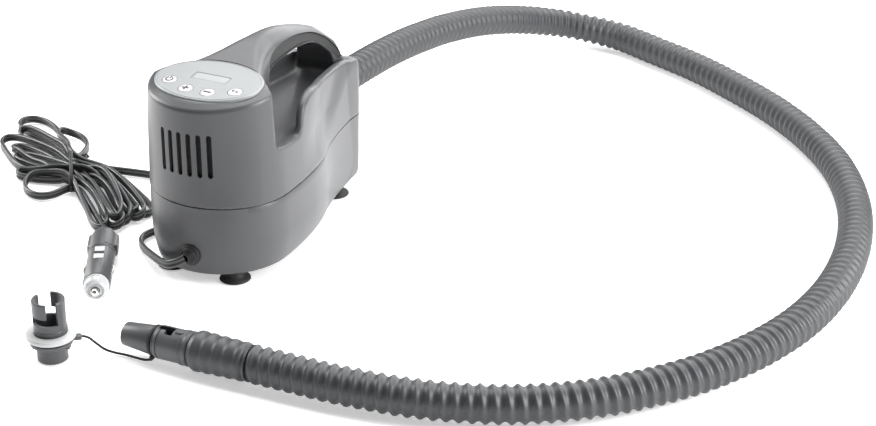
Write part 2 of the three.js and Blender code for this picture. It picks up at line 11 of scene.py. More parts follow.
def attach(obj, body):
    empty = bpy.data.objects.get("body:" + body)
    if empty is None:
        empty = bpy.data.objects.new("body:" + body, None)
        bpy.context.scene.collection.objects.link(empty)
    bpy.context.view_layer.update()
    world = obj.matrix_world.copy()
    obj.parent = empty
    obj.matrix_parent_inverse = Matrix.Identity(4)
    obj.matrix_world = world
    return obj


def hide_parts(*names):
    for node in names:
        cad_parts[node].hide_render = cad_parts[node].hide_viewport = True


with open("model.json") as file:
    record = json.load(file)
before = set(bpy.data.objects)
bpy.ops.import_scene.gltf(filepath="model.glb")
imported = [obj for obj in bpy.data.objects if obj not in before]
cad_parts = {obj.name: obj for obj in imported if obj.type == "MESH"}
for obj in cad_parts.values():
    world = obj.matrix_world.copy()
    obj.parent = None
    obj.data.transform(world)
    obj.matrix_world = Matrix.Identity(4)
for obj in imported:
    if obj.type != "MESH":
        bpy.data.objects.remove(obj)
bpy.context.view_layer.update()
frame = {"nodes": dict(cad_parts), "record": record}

MM = 0.001
ROOT = "pump"
OUTLET_Z = 83
LEAD_HOLE = (1.4, 24)

# ------------------------------------------------------------------ camera

CAMERA_AT = (0.8064, -1.2923, 0.7339)
CAMERA_TURN = (math.radians(64.5), 0, math.radians(26.5))

camera = bpy.data.objects.new("camera", bpy.data.cameras.new("camera"))
bpy.context.scene.collection.objects.link(camera)
camera.location = CAMERA_AT
camera.rotation_euler = CAMERA_TURN
camera.data.lens = 82.19
camera.data.sensor_width = 36
camera.data.clip_end = 30
bpy.context.scene.camera = camera


# ------------------------------------------------------------------ mesh helpers

def shift(x, y, z=0.0):
    """A move by millimetres."""
    return Matrix.Translation((x * MM, y * MM, z * MM))


def spin(degrees, axis="Z"):
    return Matrix.Rotation(math.radians(degrees), 4, axis)


def linked(name, data):
    """An object of some data, in the scene."""
    obj = bpy.data.objects.new(name, data)
    bpy.context.scene.collection.objects.link(obj)
    return obj


def new_object(name, verts, faces):
    """A mesh object from millimetres."""
    mesh = bpy.data.meshes.new(name)
    verts = np.asarray(verts, float) * MM
    mesh.from_pydata(verts.tolist(), [], [list(map(int, f)) for f in faces])
    mesh.update()
    return linked(name, mesh)


def from_bmesh(name, bm):
    """A mesh object from a bmesh in metres, which is freed."""
    mesh = bpy.data.meshes.new(name)
    bm.to_mesh(mesh)
    bm.free()
    return linked(name, mesh)


def soften(obj, degrees=35):
    """Smooth shading with edges sharper than the angle kept crisp."""
    bm = bmesh.new()
    bm.from_mesh(obj.data)
    limit = math.radians(degrees)
    for face in bm.faces:
        face.smooth = True
    for edge in bm.edges:
        edge.smooth = len(edge.link_faces) == 2 and edge.calc_face_angle(0.0) < limit
    bm.to_mesh(obj.data)
    bm.free()
    return obj


def apply_modifiers(obj):
    graph = bpy.context.evaluated_depsgraph_get()
    mesh = bpy.data.meshes.new_from_object(obj.evaluated_get(graph))
    obj.modifiers.clear()
    old = obj.data
    obj.data = mesh
    bpy.data.meshes.remove(old)
    return obj


def outward(obj):
    """Makes every closed shell of a mesh face out."""
    bm = bmesh.new()
    bm.from_mesh(obj.data)
    bmesh.ops.recalc_face_normals(bm, faces=bm.faces)
    bm.to_mesh(obj.data)
    bm.free()
    return obj


def bevelled(obj, width, segments=2):
    """Rounds the edges of a piece that turn by more than 30 degrees."""
    mod = obj.modifiers.new("edges", "BEVEL")
    mod.width = width * MM
    mod.segments = segments
    mod.limit_method = "ANGLE"
    mod.angle_limit = math.radians(30)
    mod.harden_normals = False
    return apply_modifiers(obj)


def carve(obj, tools):
    """Cuts several tools out of a piece in one pass."""
    bm = bmesh.new()
    for tool in tools:
        bm.from_mesh(tool.data)
        bpy.data.objects.remove(tool)
    tool = from_bmesh("tools", bm)
    mod = obj.modifiers.new("cut", "BOOLEAN")
    mod.operation = "DIFFERENCE"
    mod.solver = "EXACT"
    mod.object = tool
    apply_modifiers(obj)
    bpy.data.objects.remove(tool)
    return obj


def merged(name, objects):
    """Joins objects into one mesh object, each part keeping its own material."""
    bm = bmesh.new()
    slots = []
    for obj in objects:
        first = len(bm.faces)
        bm.from_mesh(obj.data)
        bm.faces.ensure_lookup_table()
        where = []
        for material in obj.data.materials:
            if material not in slots:
                slots.append(material)
            where.append(slots.index(material))
        for face in bm.faces[first:]:
            face.material_index = where[face.material_index] if where else 0
        bpy.data.objects.remove(obj)
    made = from_bmesh(name, bm)
    for material in slots:
        made.data.materials.append(material)
    return made


def turned(profile, sides=64, axis="Z", closed=False):
    """Vertices and faces of a solid of revolution from (radius, along) points."""
    profile = np.asarray(profile, float)
    angles = np.linspace(0, 2 * math.pi, sides, endpoint=False)
    r, t = profile[:, 0][:, None], profile[:, 1][:, None]
    a, b = r * np.cos(angles), r * np.sin(angles)
    along = np.broadcast_to(t, a.shape)
    order = {"Z": (a, b, along), "X": (along, a, b), "Y": (b, along, a)}[axis]
    verts = np.stack(order, -1).reshape(-1, 3)
    faces = []
    count = len(profile)
    last = count if closed else count - 1
    for i in range(last):
        j = (i + 1) % count
        for k in range(sides):
            n = (k + 1) % sides
            faces.append([i * sides + k, i * sides + n, j * sides + n, j * sides + k])
    if not closed:
        faces.append(list(range(sides))[::-1])
        faces.append([(count - 1) * sides + k for k in range(sides)])
    return verts, faces


def lathe(name, profile, sides=64, axis="Z", closed=False, place=None):
    verts, faces = turned(profile, sides, axis, closed)
    obj = outward(new_object(name, verts, faces))
    if place is not None:
        obj.data.transform(place)
    return obj


def prism(name, outline, low, high, plane="XY", place=None):
    """A prism of an outline: XY extrudes along Z, YZ along X."""
    outline = np.asarray(outline, float)
    n = len(outline)
    ends = []
    for level in (low, high):
        column = np.full((n, 1), float(level))
        ends.append(np.hstack([outline, column] if plane == "XY" else [column, outline]))
    faces = [list(range(n))[::-1], list(range(n, 2 * n))]
    faces += [[i, (i + 1) % n, n + (i + 1) % n, n + i] for i in range(n)]
    obj = outward(new_object(name, np.vstack(ends), faces))
    if place is not None:
        obj.data.transform(place)
    return obj


def distances(line):
    """How far along a line each of its points is."""
    return np.concatenate([[0], np.cumsum(np.linalg.norm(np.diff(line, axis=0), axis=1))])


def spread(line, count):
    """A number of points at even distances along a line."""
    along = distances(line)
    marks = np.linspace(0, along[-1], count)
    return np.stack([np.interp(marks, along, line[:, k]) for k in range(line.shape[1])], 1)


def smooth_path(points, step, closed=False):
    """Points a step apart along a centripetal Catmull-Rom curve."""
    samples = 24
    p = np.asarray(points, float)
    if closed:
        p = np.vstack([p[-1], p, p[0], p[1]])
    else:
        p = np.vstack([2 * p[0] - p[1], p, 2 * p[-1] - p[-2]])
    out = []
    for i in range(1, len(p) - 2):
        p0, p1, p2, p3 = p[i - 1], p[i], p[i + 1], p[i + 2]
        t0 = 0.0
        t1 = t0 + math.sqrt(np.linalg.norm(p1 - p0)) + 1e-9
        t2 = t1 + math.sqrt(np.linalg.norm(p2 - p1)) + 1e-9
        t3 = t2 + math.sqrt(np.linalg.norm(p3 - p2)) + 1e-9
        t = np.linspace(t1, t2, samples, endpoint=False)[:, None]
        a1 = (t1 - t) / (t1 - t0) * p0 + (t - t0) / (t1 - t0) * p1
        a2 = (t2 - t) / (t2 - t1) * p1 + (t - t1) / (t2 - t1) * p2
        a3 = (t3 - t) / (t3 - t2) * p2 + (t - t2) / (t3 - t2) * p3
        b1 = (t2 - t) / (t2 - t0) * a1 + (t - t0) / (t2 - t0) * a2
        b2 = (t3 - t) / (t3 - t1) * a2 + (t - t1) / (t3 - t1) * a3
        out.append((t2 - t) / (t2 - t1) * b1 + (t - t1) / (t2 - t1) * b2)
    line = np.vstack(out + ([] if closed else [p[-2][None]]))
    if closed:
        line = np.vstack([line, line[:1]])
    even = spread(line, max(2, int(round(distances(line)[-1] / step)) + 1))
    return even[:-1] if closed else even


def frames_along(line):
    """Unit side and top vectors along a line, the side kept level where it can be."""
    tangent = np.gradient(line, axis=0)
    tangent /= np.linalg.norm(tangent, axis=1)[:, None]
    side = np.cross(tangent, (0.0, 0.0, 1.0))
    upright = 0.2
    weak = np.linalg.norm(side, axis=1) < upright
    for i in np.flatnonzero(weak):
        side[i] = side[i - 1] if i else (1, 0, 0)
    side /= np.linalg.norm(side, axis=1)[:, None]
    return side, np.cross(side, tangent)


def tube(name, line, radius_of, sides):
    """A tube round a line; radius_of gives radii for (distance, angle) grids."""
    side, top = frames_along(line)
    angle = np.linspace(0, 2 * math.pi, sides, endpoint=False)
    radius = radius_of(distances(line)[:, None], angle[None, :])
    ring = np.cos(angle)[None, :, None] * side[:, None] + np.sin(angle)[None, :, None] * top[:, None]
    verts = (line[:, None] + radius[..., None] * ring).reshape(-1, 3)
    return outward(new_object(name, verts, tube_faces(len(line), sides)))


def even_radius(radius):
    """The radius_of a plain round tube."""
    return lambda distance, angle: radius + 0 * distance * angle


def tube_faces(rings, sides):
    k = np.arange(sides)
    n = (k + 1) % sides
    i = np.arange(rings - 1)[:, None] * sides
    quads = np.stack([i + k, i + n, i + sides + n, i + sides + k], -1).reshape(-1, 4).tolist()
    quads.append(list(range(sides))[::-1])
    quads.append([(rings - 1) * sides + int(j) for j in k])
    return quads


def sweep(name, line, section):
    """A closed flat section, in (side, top) millimetres, swept along a line."""
    side, top = frames_along(line)
    section = np.asarray(section, float)
    verts = line[:, None] + section[None, :, :1] * side[:, None] + section[None, :, 1:] * top[:, None]
    return outward(new_object(name, verts.reshape(-1, 3), tube_faces(len(line), len(section))))


# ------------------------------------------------------------------ cords: hose, lead with its hank, tether

HOSE_D = 0.0292
HOSE_ROOT_R = 12.3
RIB_PITCH = 9.0
LEAD_W = 7.3
LEAD_T = 3.65

HOSE_ROUTE = [(0, 140.2, 83), (0, 152, 83), (0, 173, 82.3), (0, 213, 80), (0, 257, 75.7), (0, 297, 70),
              (2, 340, 63.5), (12, 412, 49.5), (32, 471, 34), (64, 508, 21.5), (109, 515, 15.8),
              (160, 495, 14.5), (213, 469, 14.5), (263, 437, 14.5), (314, 399, 14.5), (362, 353, 14.5),
              (406, 296, 14.5), (442, 222, 14.5), (462, 146, 14.5), (468, 76, 14.5), (463, 16, 14.5),
              (450, -34, 14.5), (432, -76, 14.5), (412, -110, 14.5), (369, -160, 14.5), (320, -195, 14.5),
              (262, -217, 14.5), (200, -227, 15), (155, -229, 15.5), (127.5, -229.6, 15.5)]

LEAD_ROUTE = [(1.4, -124.4, 24), (0.2, -127.4, 23.2), (-5, -129.6, 20.8), (-12, -128.2, 17.6),
              (-22, -121.5, 14), (-35, -111.5, 10.5), (-48, -101.5, 7.5), (-60, -92, 5), (-70.5, -82, 3.8),
              (-75.5, -71, 3.5), (-72, -59, 3.5), (-66, -46, 3.5), (-63, -28, 3.5), (-64, -8, 3.5),
              (-69, 12, 3.5), (-80, 27, 3.5), (-96, 35.5, 3.5), (-116, 37.5, 3.5), (-136, 35, 3.8),
              (-160, 31, 4)]
TAIL_ROUTE = [(-126, -62, 4), (-115, -72, 4.5), (-109.5, -77.5, 5), (-106, -81, 6.5), (-102.8, -84.8, 8.6),
              (-99.8, -88.2, 10.9)]

LEFT_LOOPS = [
    [(-226, 34, 4), (-250, 48, 4), (-284, 60, 4), (-300, 64, 4), (-311, 70, 4), (-318, 80, 4),
     (-318, 89, 4), (-312, 94, 4), (-300, 94, 4), (-287, 90, 4), (-269, 78, 4), (-250, 57, 5),
     (-234, 40, 5)],
    [(-214, 47, 8), (-230, 67, 6), (-246, 79, 4), (-258, 81, 4), (-265, 77, 4), (-264, 68, 5),
     (-257, 60, 10), (-243, 50, 12), (-229, 40, 12)],
    [(-222, 24, 4), (-249, 37, 4), (-271, 44, 4), (-292, 50, 4), (-302, 56, 4), (-303, 61, 6),
     (-296, 62, 10), (-270, 54, 11), (-245, 43, 11), (-224, 33, 11)],
    [(-224, 22, 12), (-250, 31, 11), (-285, 41, 9), (-302, 44, 6), (-308, 39, 4), (-299, 30, 4),
     (-277, 13, 4), (-258, -2, 4), (-240, -9, 4), (-215, -6, 4)],
    [(-216, 8, 10), (-232, 14, 8), (-250, 18, 6), (-268, 20, 4), (-276, 16, 4), (-269, 8, 4),
     (-250, 4, 4), (-225, 0, 4)],
    [(-222, 16, 6), (-246, 26, 5), (-272, 34, 4), (-288, 34, 4), (-288, 27, 4), (-270, 18, 5),
     (-246, 8, 6), (-222, -2, 6)],
    [(-208, -4, 10), (-220, -9, 8), (-236, -12, 7), (-247, -11, 6), (-252, -16, 4), (-243, -21, 4),
     (-222, -18, 4), (-206, -12, 4)],
    [(-204, -11, 11), (-214, -9, 9), (-226, -14, 6), (-231, -25, 4), (-223, -38, 4), (-209, -48, 4),
     (-198, -50, 4), (-190, -43, 4), (-187, -31, 4)],
]
RIGHT_LOOPS = [
    [(-176, 25, 4), (-150, 12, 4), (-122, -6, 4), (-101, -19, 4), (-92, -28, 4), (-91, -37, 4),
     (-98, -40, 4), (-122, -24, 4), (-155, 0, 4)],
    [(-176, 20, 10), (-150, 5, 10), (-122, -14, 9), (-100, -31, 7), (-92, -43, 5), (-96, -51, 4),
     (-110, -44, 4), (-135, -24, 4), (-165, 0, 4)],
    [(-176, 14, 10), (-150, -4, 10), (-125, -24, 9), (-106, -42, 7), (-98, -54, 5), (-100, -62, 4),
     (-112, -56, 4), (-138, -32, 4), (-168, -8, 4)],
    [(-176, 2, 10), (-150, -14, 10), (-125, -36, 9), (-106, -54, 7), (-98, -66, 5), (-101, -73, 4),
     (-112, -68, 4), (-138, -42, 4), (-168, -14, 4)],
    [(-174, 8, 16), (-150, -9, 16), (-127, -30, 14), (-110, -50, 12), (-102, -63, 10), (-106, -70, 8),
     (-117, -62, 8), (-140, -38, 10), (-168, -12, 10)],
    [(-176, 16, 5), (-152, 2, 4), (-126, -16, 4), (-106, -33, 4), (-99, -44, 4), (-106, -48, 4),
     (-120, -40, 4), (-142, -20, 5), (-170, 2, 7)],
    [(-176, -16, 10), (-152, -30, 10), (-130, -50, 8), (-113, -66, 6), (-108, -74, 5), (-114, -79, 4),
     (-126, -72, 4), (-146, -50, 4), (-170, -28, 4)],
]
TIE_AT = (-200, 1)
TIE_TURN = math.radians(36)
# Where each pass goes through the tie: along it, and how high.
WAIST = [(25, 4), (21, 4), (17, 4), (19, 11), (12, 4), (14, 11), (9, 11), (-6, 4), (4, 12), (1, 4), (6, 5),
         (-15.5, 4), (-4, 11), (-11, 4), (-12, 11), (-19, 5)]


def hank_route():
    """The lead from the grommet through every loop of the hank to the plug."""
    route = list(LEAD_ROUTE)
    along = (-math.sin(TIE_TURN), math.cos(TIE_TURN))
    passes = [(TIE_AT[0] + w * along[0], TIE_AT[1] + w * along[1], z) for w, z in WAIST]
    loops = [loop for pair in zip(LEFT_LOOPS, RIGHT_LOOPS + [TAIL_ROUTE]) for loop in pair]
    for at, loop in zip(passes, loops):
        route += [at] + loop
    return route


def settle(line, fixed, rounds=70, gap=3.85):
    """Pushes passes of the lead apart, so that they lie beside and on each other."""
    flat = np.array([1, 1, 0.5])
    own_points, push_share, longest_move = 7, 0.35, 1.2
    smoothing, recall, stretch_share = 0.2, 0.01, 0.25
    rest = line.copy()
    index = np.arange(len(line))
    near = np.abs(index[:, None] - index[None, :]) < own_points
    span = np.linalg.norm(np.diff(line, axis=0), axis=1)
    for _ in range(rounds):
        delta = (line[:, None] - line[None, :]) * flat
        dist = np.linalg.norm(delta, axis=2)
        push = np.where((dist < gap) & ~near, (gap - dist) / (dist + 0.05), 0)
        move = push_share * (push[..., None] * delta).sum(1)
        length = np.linalg.norm(move, axis=1)[:, None]
        line = line + move * np.minimum(1, longest_move / (length + 1e-9)) * ~fixed[:, None]
        mid = 0.5 * (line[:-2] + line[2:])
        line[1:-1] += smoothing * (mid - line[1:-1]) * ~fixed[1:-1, None]
        line += recall * (rest - line) * ~fixed[:, None]
        step = np.diff(line, axis=0)
        size = np.linalg.norm(step, axis=1)
        fix = stretch_share * step * ((size - span) / size)[:, None]
        line[:-1] += fix * ~fixed[:-1, None]
        line[1:] -= fix * ~fixed[1:, None]
        line[:, 2] = np.maximum(line[:, 2], 0.5 * LEAD_W + 0.15)
    return line


def twin_section():
    """Two round cores side by side, standing on edge, with a groove between them."""
    r, c = 0.5 * LEAD_T, 0.5 * (LEAD_W - LEAD_T)
    top = [(r * math.cos(a), c + r * math.sin(a)) for a in np.radians(np.linspace(-58, 238, 11))]
    low = [(-x, -y) for x, y in top]
    return top + low


lead_line = smooth_path(hank_route(), 4)
# The first stretch from the grommet and the last one into the plug stay where they are.
lead_fixed = np.arange(len(lead_line)) < 60
lead_fixed[-6:] = True
lead_line = settle(lead_line, lead_fixed)
for _ in range(4):
    lead_line[1:-1] = 0.5 * lead_line[1:-1] + 0.25 * (lead_line[:-2] + lead_line[2:])
lead_line = smooth_path(lead_line, 3)
power_lead = sweep("power_lead", lead_line, twin_section())
soften(power_lead, 50)


def corrugation(distance, angle):
    """Radius of the hose: narrow round ribs on a slight spiral."""
    phase = 2 * math.pi * distance / RIB_PITCH + angle
    rib = (0.5 + 0.5 * np.cos(phase)) ** 1.4
    return HOSE_ROOT_R + (0.5 * HOSE_D / MM - HOSE_ROOT_R) * rib


hose_line = smooth_path(HOSE_ROUTE, 1.15)
air_hose = soften(tube("air_hose", hose_line, corrugation, 40), 80)

TETHER_R = 0.95
TETHER_ROUTE = [(-7.6, -252.6, 16.2), (-5.6, -251.2, 16), (-2.5, -249, 14.5), (1.5, -246, 9.5),
                (7, -243, 4), (14, -240.5, 1.6), (23, -239.6, 1.5), (32, -240.2, 1.8), (41.5, -240.9, 2.6),
                (45.8, -240.2, 3.6)]
tether_line = smooth_path(TETHER_ROUTE, 1.5)
tether_cord = soften(tube("tether_cord", tether_line, even_radius(TETHER_R), 12), 80)


def line_length(line):
    return float(distances(line)[-1]) * MM


# ------------------------------------------------------------------ distance fields for the body shell

class Field:
    """Signed distance to a polygon in two coordinates, sampled on a grid; negative inside."""

    def __init__(self, points, low, high, step=1.0):
        p = np.asarray(points, float)
        self.low, self.step = np.asarray(low, float), step
        nu, nv = (np.ceil((np.asarray(high, float) - self.low) / step).astype(int) + 1)
        across, up = self.low[0] + step * np.arange(nu), self.low[1] + step * np.arange(nv)
        u, v = np.meshgrid(across, up, indexing="ij")
        best = np.full(u.shape, 1e9)
        inside = np.zeros(u.shape, bool)
        for (a0, a1), (b0, b1) in zip(p, np.roll(p, -1, axis=0)):
            e0, e1 = b0 - a0, b1 - a1
            t = np.clip(((u - a0) * e0 + (v - a1) * e1) / (e0 * e0 + e1 * e1 + 1e-12), 0, 1)
            best = np.minimum(best, (u - a0 - t * e0) ** 2 + (v - a1 - t * e1) ** 2)
            if a1 != b1:
                inside ^= ((a1 > v) != (b1 > v)) & (u < e0 * (v - a1) / e1 + a0)
        self.grid = np.sqrt(best) * np.where(inside, -1, 1)

    def __call__(self, u, v):
        fu = np.clip((u - self.low[0]) / self.step, 0, self.grid.shape[0] - 1.001)
        fv = np.clip((v - self.low[1]) / self.step, 0, self.grid.shape[1] - 1.001)
        iu, iv = fu.astype(int), fv.astype(int)
        au, av = fu - iu, fv - iv
        g = self.grid
        return ((g[iu, iv] * (1 - au) + g[iu + 1, iv] * au) * (1 - av)
                + (g[iu, iv + 1] * (1 - au) + g[iu + 1, iv + 1] * au) * av)


def round_both(a, b, r):
    """Intersection of two solids whose shared edge is rounded to a radius."""
    return np.minimum(np.maximum(a, b), -r) + np.hypot(np.maximum(a + r, 0), np.maximum(b + r, 0))


def fillet(a, b, r):
    """Union of two solids with a round fillet between them."""
    return -round_both(-a, -b, r)


def surface_net(field, low, high, step):
    """Quads on the zero level of a field, one vertex in each crossed cell, drawn onto the surface."""
    axes = [np.arange(lo, hi + step, step) for lo, hi in zip(low, high)]
    value = field(*np.meshgrid(*axes, indexing="ij"))
    shape = np.array(value.shape) - 1
    total = np.zeros(tuple(shape) + (3,))
    count = np.zeros(tuple(shape))
    quads = []
    number = np.arange(shape.prod()).reshape(tuple(shape))
    for axis in range(3):
        a = [slice(None)] * 3
        b = [slice(None)] * 3
        a[axis], b[axis] = slice(0, -1), slice(1, None)
        va, vb = value[tuple(a)], value[tuple(b)]
        cross = (va < 0) != (vb < 0)
        i, j, k = np.nonzero(cross)
        keep = np.ones(len(i), bool)
        at = np.stack([i, j, k], 1)
        others = [o for o in range(3) if o != axis]
        for o in others:
            keep &= (at[:, o] > 0) & (at[:, o] < shape[o])
        at = at[keep]
        fa, fb = va[tuple(at.T)], vb[tuple(at.T)]
        point = at.astype(float)
        point[:, axis] += fa / (fa - fb)
        cells = []
        for du, dv in ((0, 0), (1, 0), (1, 1), (0, 1)):
            cell = at.copy()
            cell[:, others[0]] -= du
            cell[:, others[1]] -= dv
            np.add.at(total, tuple(cell.T), point)
            np.add.at(count, tuple(cell.T), 1)
            cells.append(number[tuple(cell.T)])
        quad = np.stack(cells, 1)
        flip = (fa < 0) == (axis == 1)
        quad[flip] = quad[flip][:, ::-1]
        quads.append(quad)
    quads = np.vstack(quads)
    used = np.flatnonzero(count.ravel() > 0)
    verts = total.reshape(-1, 3)[used] / count.ravel()[used][:, None]
    verts = verts * step + np.asarray(low, float)
    back = np.full(number.size, -1)
    back[used] = np.arange(len(used))
    probe, least_slope, longest_move = 0.05, 0.15, 0.7
    for _ in range(3):
        rise = [field(*(verts + probe * e).T) - field(*(verts - probe * e).T) for e in np.eye(3)]
        grad = np.stack(rise, 1) / (2 * probe)
        size = np.maximum((grad ** 2).sum(1), least_slope)
        verts = verts - np.clip(field(*verts.T) / size, -longest_move, longest_move)[:, None] * grad
    return verts, back[quads]


# ------------------------------------------------------------------ body shell

FRONT_Y, REAR_Y = -116, 116
LOBE_R = 55.5
LOBE_Y = FRONT_Y + LOBE_R
REAR_HALF, REAR_CORNER = 29, 12
BASE_Z, SEAM_Z = 8.5, 66
WALL = 2.5
TOWER_REAR_Y, ROOM_TOP_Z = -46, 100
# Lowest and highest corners of the grids that the outlines and the upper housing are sampled on.
PLAN_VIEW = (-70, -130), (70, 130)
SIDE_VIEW = (-130, 60), (130, 175)
UPPER_BOX = (-61.75, -119.15, 64.3), (61.75, 120.5, 171)
CELL = 1.3


def bezier(points, count):
    """Points along a Bezier curve of any degree, without its first point."""
    out = []
    for i in range(1, count + 1):
        row = [np.asarray(p, float) for p in points]
        t = i / count
        while len(row) > 1:
            row = [(1 - t) * a + t * b for a, b in zip(row, row[1:])]
        out.append(row[0])
    return out


def plan_outline():
    """Plan of the body: round front lobe, slim waisted sides, rear end with round corners."""
    turn = np.linspace(-math.pi / 2, 0, 33)
    side = [(LOBE_R * math.cos(a), LOBE_Y + LOBE_R * math.sin(a)) for a in turn]
    side += bezier([(LOBE_R, LOBE_Y), (LOBE_R, -25), (50, 7), (44, 24)], 20)
    side += bezier([(44, 24), (37.5, 42), (32, 72), (REAR_HALF, REAR_Y - REAR_CORNER)], 20)
    corner = (REAR_HALF, REAR_Y)
    side += bezier([(REAR_HALF, REAR_Y - REAR_CORNER), corner, (REAR_HALF - REAR_CORNER, REAR_Y)], 8)
    side = [tuple(map(float, p)) for p in side]
    side[0] = (0.0, float(FRONT_Y))
    return side + [(0.0, float(REAR_Y))] + [(-x, y) for x, y in reversed(side[1:])]


OUTLINE = plan_outline()

# Height of the handle's crown along its middle, from the tower back to the rear wall.
CROWN = [(-45, 160.8), (-30, 164.6), (-15, 168.2), (0, 169.7), (15, 169.4), (30, 167.6), (45, 163.8),
         (60, 159.1), (75, 154), (88, 148.4), (98, 142.2), (105, 130.8), (110, 118.8), (113.5, 109),
         (116, 98), (121, 82)]
# Half width of the handle strap and where it has it along Y, flaring forward into the tower.
STRAP = [(70, -74), (54, -70), (45, -61), (34, -48), (25, -31), (19, -14), (16, 4), (16, 80), (20, 96),
         (27, 106), (36, 116), (60, 124)]
# Rounding of the handle's upper edges along its length.
EDGE_ROUND = [(-80, 2.5), (-66, 3.5), (-45, 8), (-20, 12), (0, 14.4), (40, 14), (75, 11), (100, 8),
              (116, 6)]
# Top edge of the outer walls of the scoop.
WALL_TOP = [(-80, 101), (-46, 101.5), (-35, 104), (-31.5, 112), (-29.5, 120), (-25, 126.5), (-17, 131),
            (-7, 132.8), (3, 132), (13, 130), (30, 126.2), (50, 122.8), (75, 121), (88, 120.3), (96, 119.2),
            (104, 115.4), (110, 110.8), (114, 106), (117, 99), (119, 92), (122, 84)]
# Height of the scoop's floor, the hand gap from the side, and the grip band's lower and upper edges.
SCOOP_FLOOR = [(-80, 112), (-66, 107), (-50, 104.8), (-20, 104), (60, 104), (84, 104.5), (95, 108),
               (104, 114), (122, 114)]
HAND_GAP = [(-17, 139), (-16, 145), (-12, 147.2), (-3, 147.8), (7, 148.4), (18, 148.8), (27, 149),
            (36, 148.7), (49, 147.7), (62, 144.9), (74, 138.7), (83, 131.3), (88, 126), (90, 119), (91, 96),
            (-27, 96), (-24, 112), (-20, 126)]
GRIP_LOW = [(-15.2, 148.2), (-10, 148.7), (-3, 149), (7, 149.7), (18, 150.1), (27, 150.3), (36, 150),
            (49, 149), (62.5, 146.2), (74, 140), (83, 132.6), (90, 126), (95, 120)]
GRIP_HIGH = [(-15.6, 150.6), (-13.6, 155.4), (-9, 157.8), (0, 159.4), (11, 160.4), (30.7, 159.7),
             (48.4, 156.8), (67.6, 151.4), (84.5, 140.5), (95.8, 128), (100, 121.5)]
PANEL_TILT = math.radians(6.8)
PANEL_Y, PANEL_Z = -74.5, 156.3
PANEL_A, PANEL_B = 46.5, 31.8
# The cut that leans the handle's rim in: its slope against the plan and the crown, and its depth.
LEAN_PLAN, LEAN_CROWN, LEAN_DEPTH = 0.418, 0.909, 3.6
# How far the sides and the rear stand out from the plan, by height.
SIDE_SWELL = [(8.5, -0.3), (14, 1.4), (22, 3.2), (30, 4.2), (57, 4.2), (75, 3.6), (92, 3.1), (109, 2.7),
              (118, 2.4), (126, 2.0), (135, 1.4), (144, 0.8), (152, 0.4)]
REAR_SWELL = [(8.5, 0), (14, 1.3), (30, 1.8), (45, 2), (66, 2.6), (90, 3), (110, 2.6), (122, 1.6)]
# The hollow outside each scoop wall: a point of its rear edge, that edge's direction, and its depth.
HOLLOW_AT, HOLLOW_EDGE, HOLLOW_DEPTH = (97, 109), (0.779, 0.627), 3.0


def panel_plane(y):
    return PANEL_Z + math.tan(PANEL_TILT) * (y - PANEL_Y)


def curve_through(points):
    """The two coordinates of a fine smooth line through points."""
    return smooth_path(points, 1.5).T


plan_field = Field(OUTLINE, *PLAN_VIEW)
strap_y, strap_x = curve_through([(y, x) for x, y in STRAP])
strap_edge = list(zip(strap_x, strap_y))
strap_field = Field(strap_edge + [(80, 124), (80, 140), (-80, 140), (-80, 124)]
                    + [(-x, y) for x, y in reversed(strap_edge)]
                    + [(-80, -74), (-80, -140), (80, -140), (80, -74)], *PLAN_VIEW)
crown_y, crown_z = curve_through([(-130, panel_plane(-130)), (-95, panel_plane(-95)),
                                  (-60, panel_plane(-60) + 0.3)] + CROWN)
crown_field = Field(list(zip(crown_y, crown_z)) + [(130, 60), (130, 40), (-160, 40), (-160, 140)],
                    *SIDE_VIEW)
gap_field = Field(smooth_path(HAND_GAP, 2, closed=True), *SIDE_VIEW)
wall_y, wall_z = curve_through(WALL_TOP)
floor_y, floor_z = curve_through(SCOOP_FLOOR)
wall_field = Field(list(zip(wall_y, wall_z)) + [(140, 113), (140, 40), (-140, 40), (-140, 101)], *SIDE_VIEW)
round_y, round_r = zip(*EDGE_ROUND)


def handle_solid(x, y, z, plan):
    """The tower and the handle that runs back from it over the hand gap."""
    strap = strap_field(x, y)
    top = crown_field(y, z)
    body = round_both(strap, top, np.interp(y, round_y, round_r))
    lean = LEAN_PLAN * plan + LEAN_CROWN * top + LEAN_DEPTH + 0.05 * np.maximum(y + 66, 0)
    return round_both(round_both(body, lean, 0.8), -gap_field(y, z), 0.9)


def scoop_solid(x, y, z, plan):
    """The body below the handle: the floor of the scoop and the walls beside it."""
    thick = np.interp(y, (-38, -12, 40), (6.2, 7, 7))
    ridge = round_both(-(plan + thick), wall_field(y, z), np.interp(y, (-20, 30), (2.8, 1.3)))
    lower = z - np.interp(y, floor_y, floor_z)
    return fillet(ridge, lower, 8)


def ease(t):
    """A smooth step from 0 to 1."""
    t = np.clip(t, 0, 1)
    return t ** 2 * (3 - 2 * t)


def swell(x, y, z):
    """How far the body stands out from its plan: at its sides and round its rear end."""
    side, rear = [np.interp(z, *zip(*profile)) for profile in (SIDE_SWELL, REAR_SWELL)]
    return np.maximum(side * np.clip(np.abs(x) / 52, 0, 1) ** 2, rear * ease((y - 74) / 36))


def dimple(y, z):
    """A shallow hollow in the outside of each scoop wall, which fades down and forward."""
    ahead = HOLLOW_EDGE[0] * (z - HOLLOW_AT[1]) - HOLLOW_EDGE[1] * (y - HOLLOW_AT[0])
    depth = HOLLOW_DEPTH * ease(ahead / 28) * ease((84 - ahead) / 48)
    return depth * np.clip((z - 70) / 26, 0, 1) * np.clip((y + 32) / 30, 0, 1)


def body_solid(x, y, z):
    """The outside of the whole body, as if it were solid."""
    plan = plan_field(x, y) - swell(x, y, z) + dimple(y, z)
    return round_both(fillet(handle_solid(x, y, z, plan), scoop_solid(x, y, z, plan), 3.5), plan,
                      np.interp(y, (-44, -30, -10, 30), (1.8, 3, 3, 1.8)))


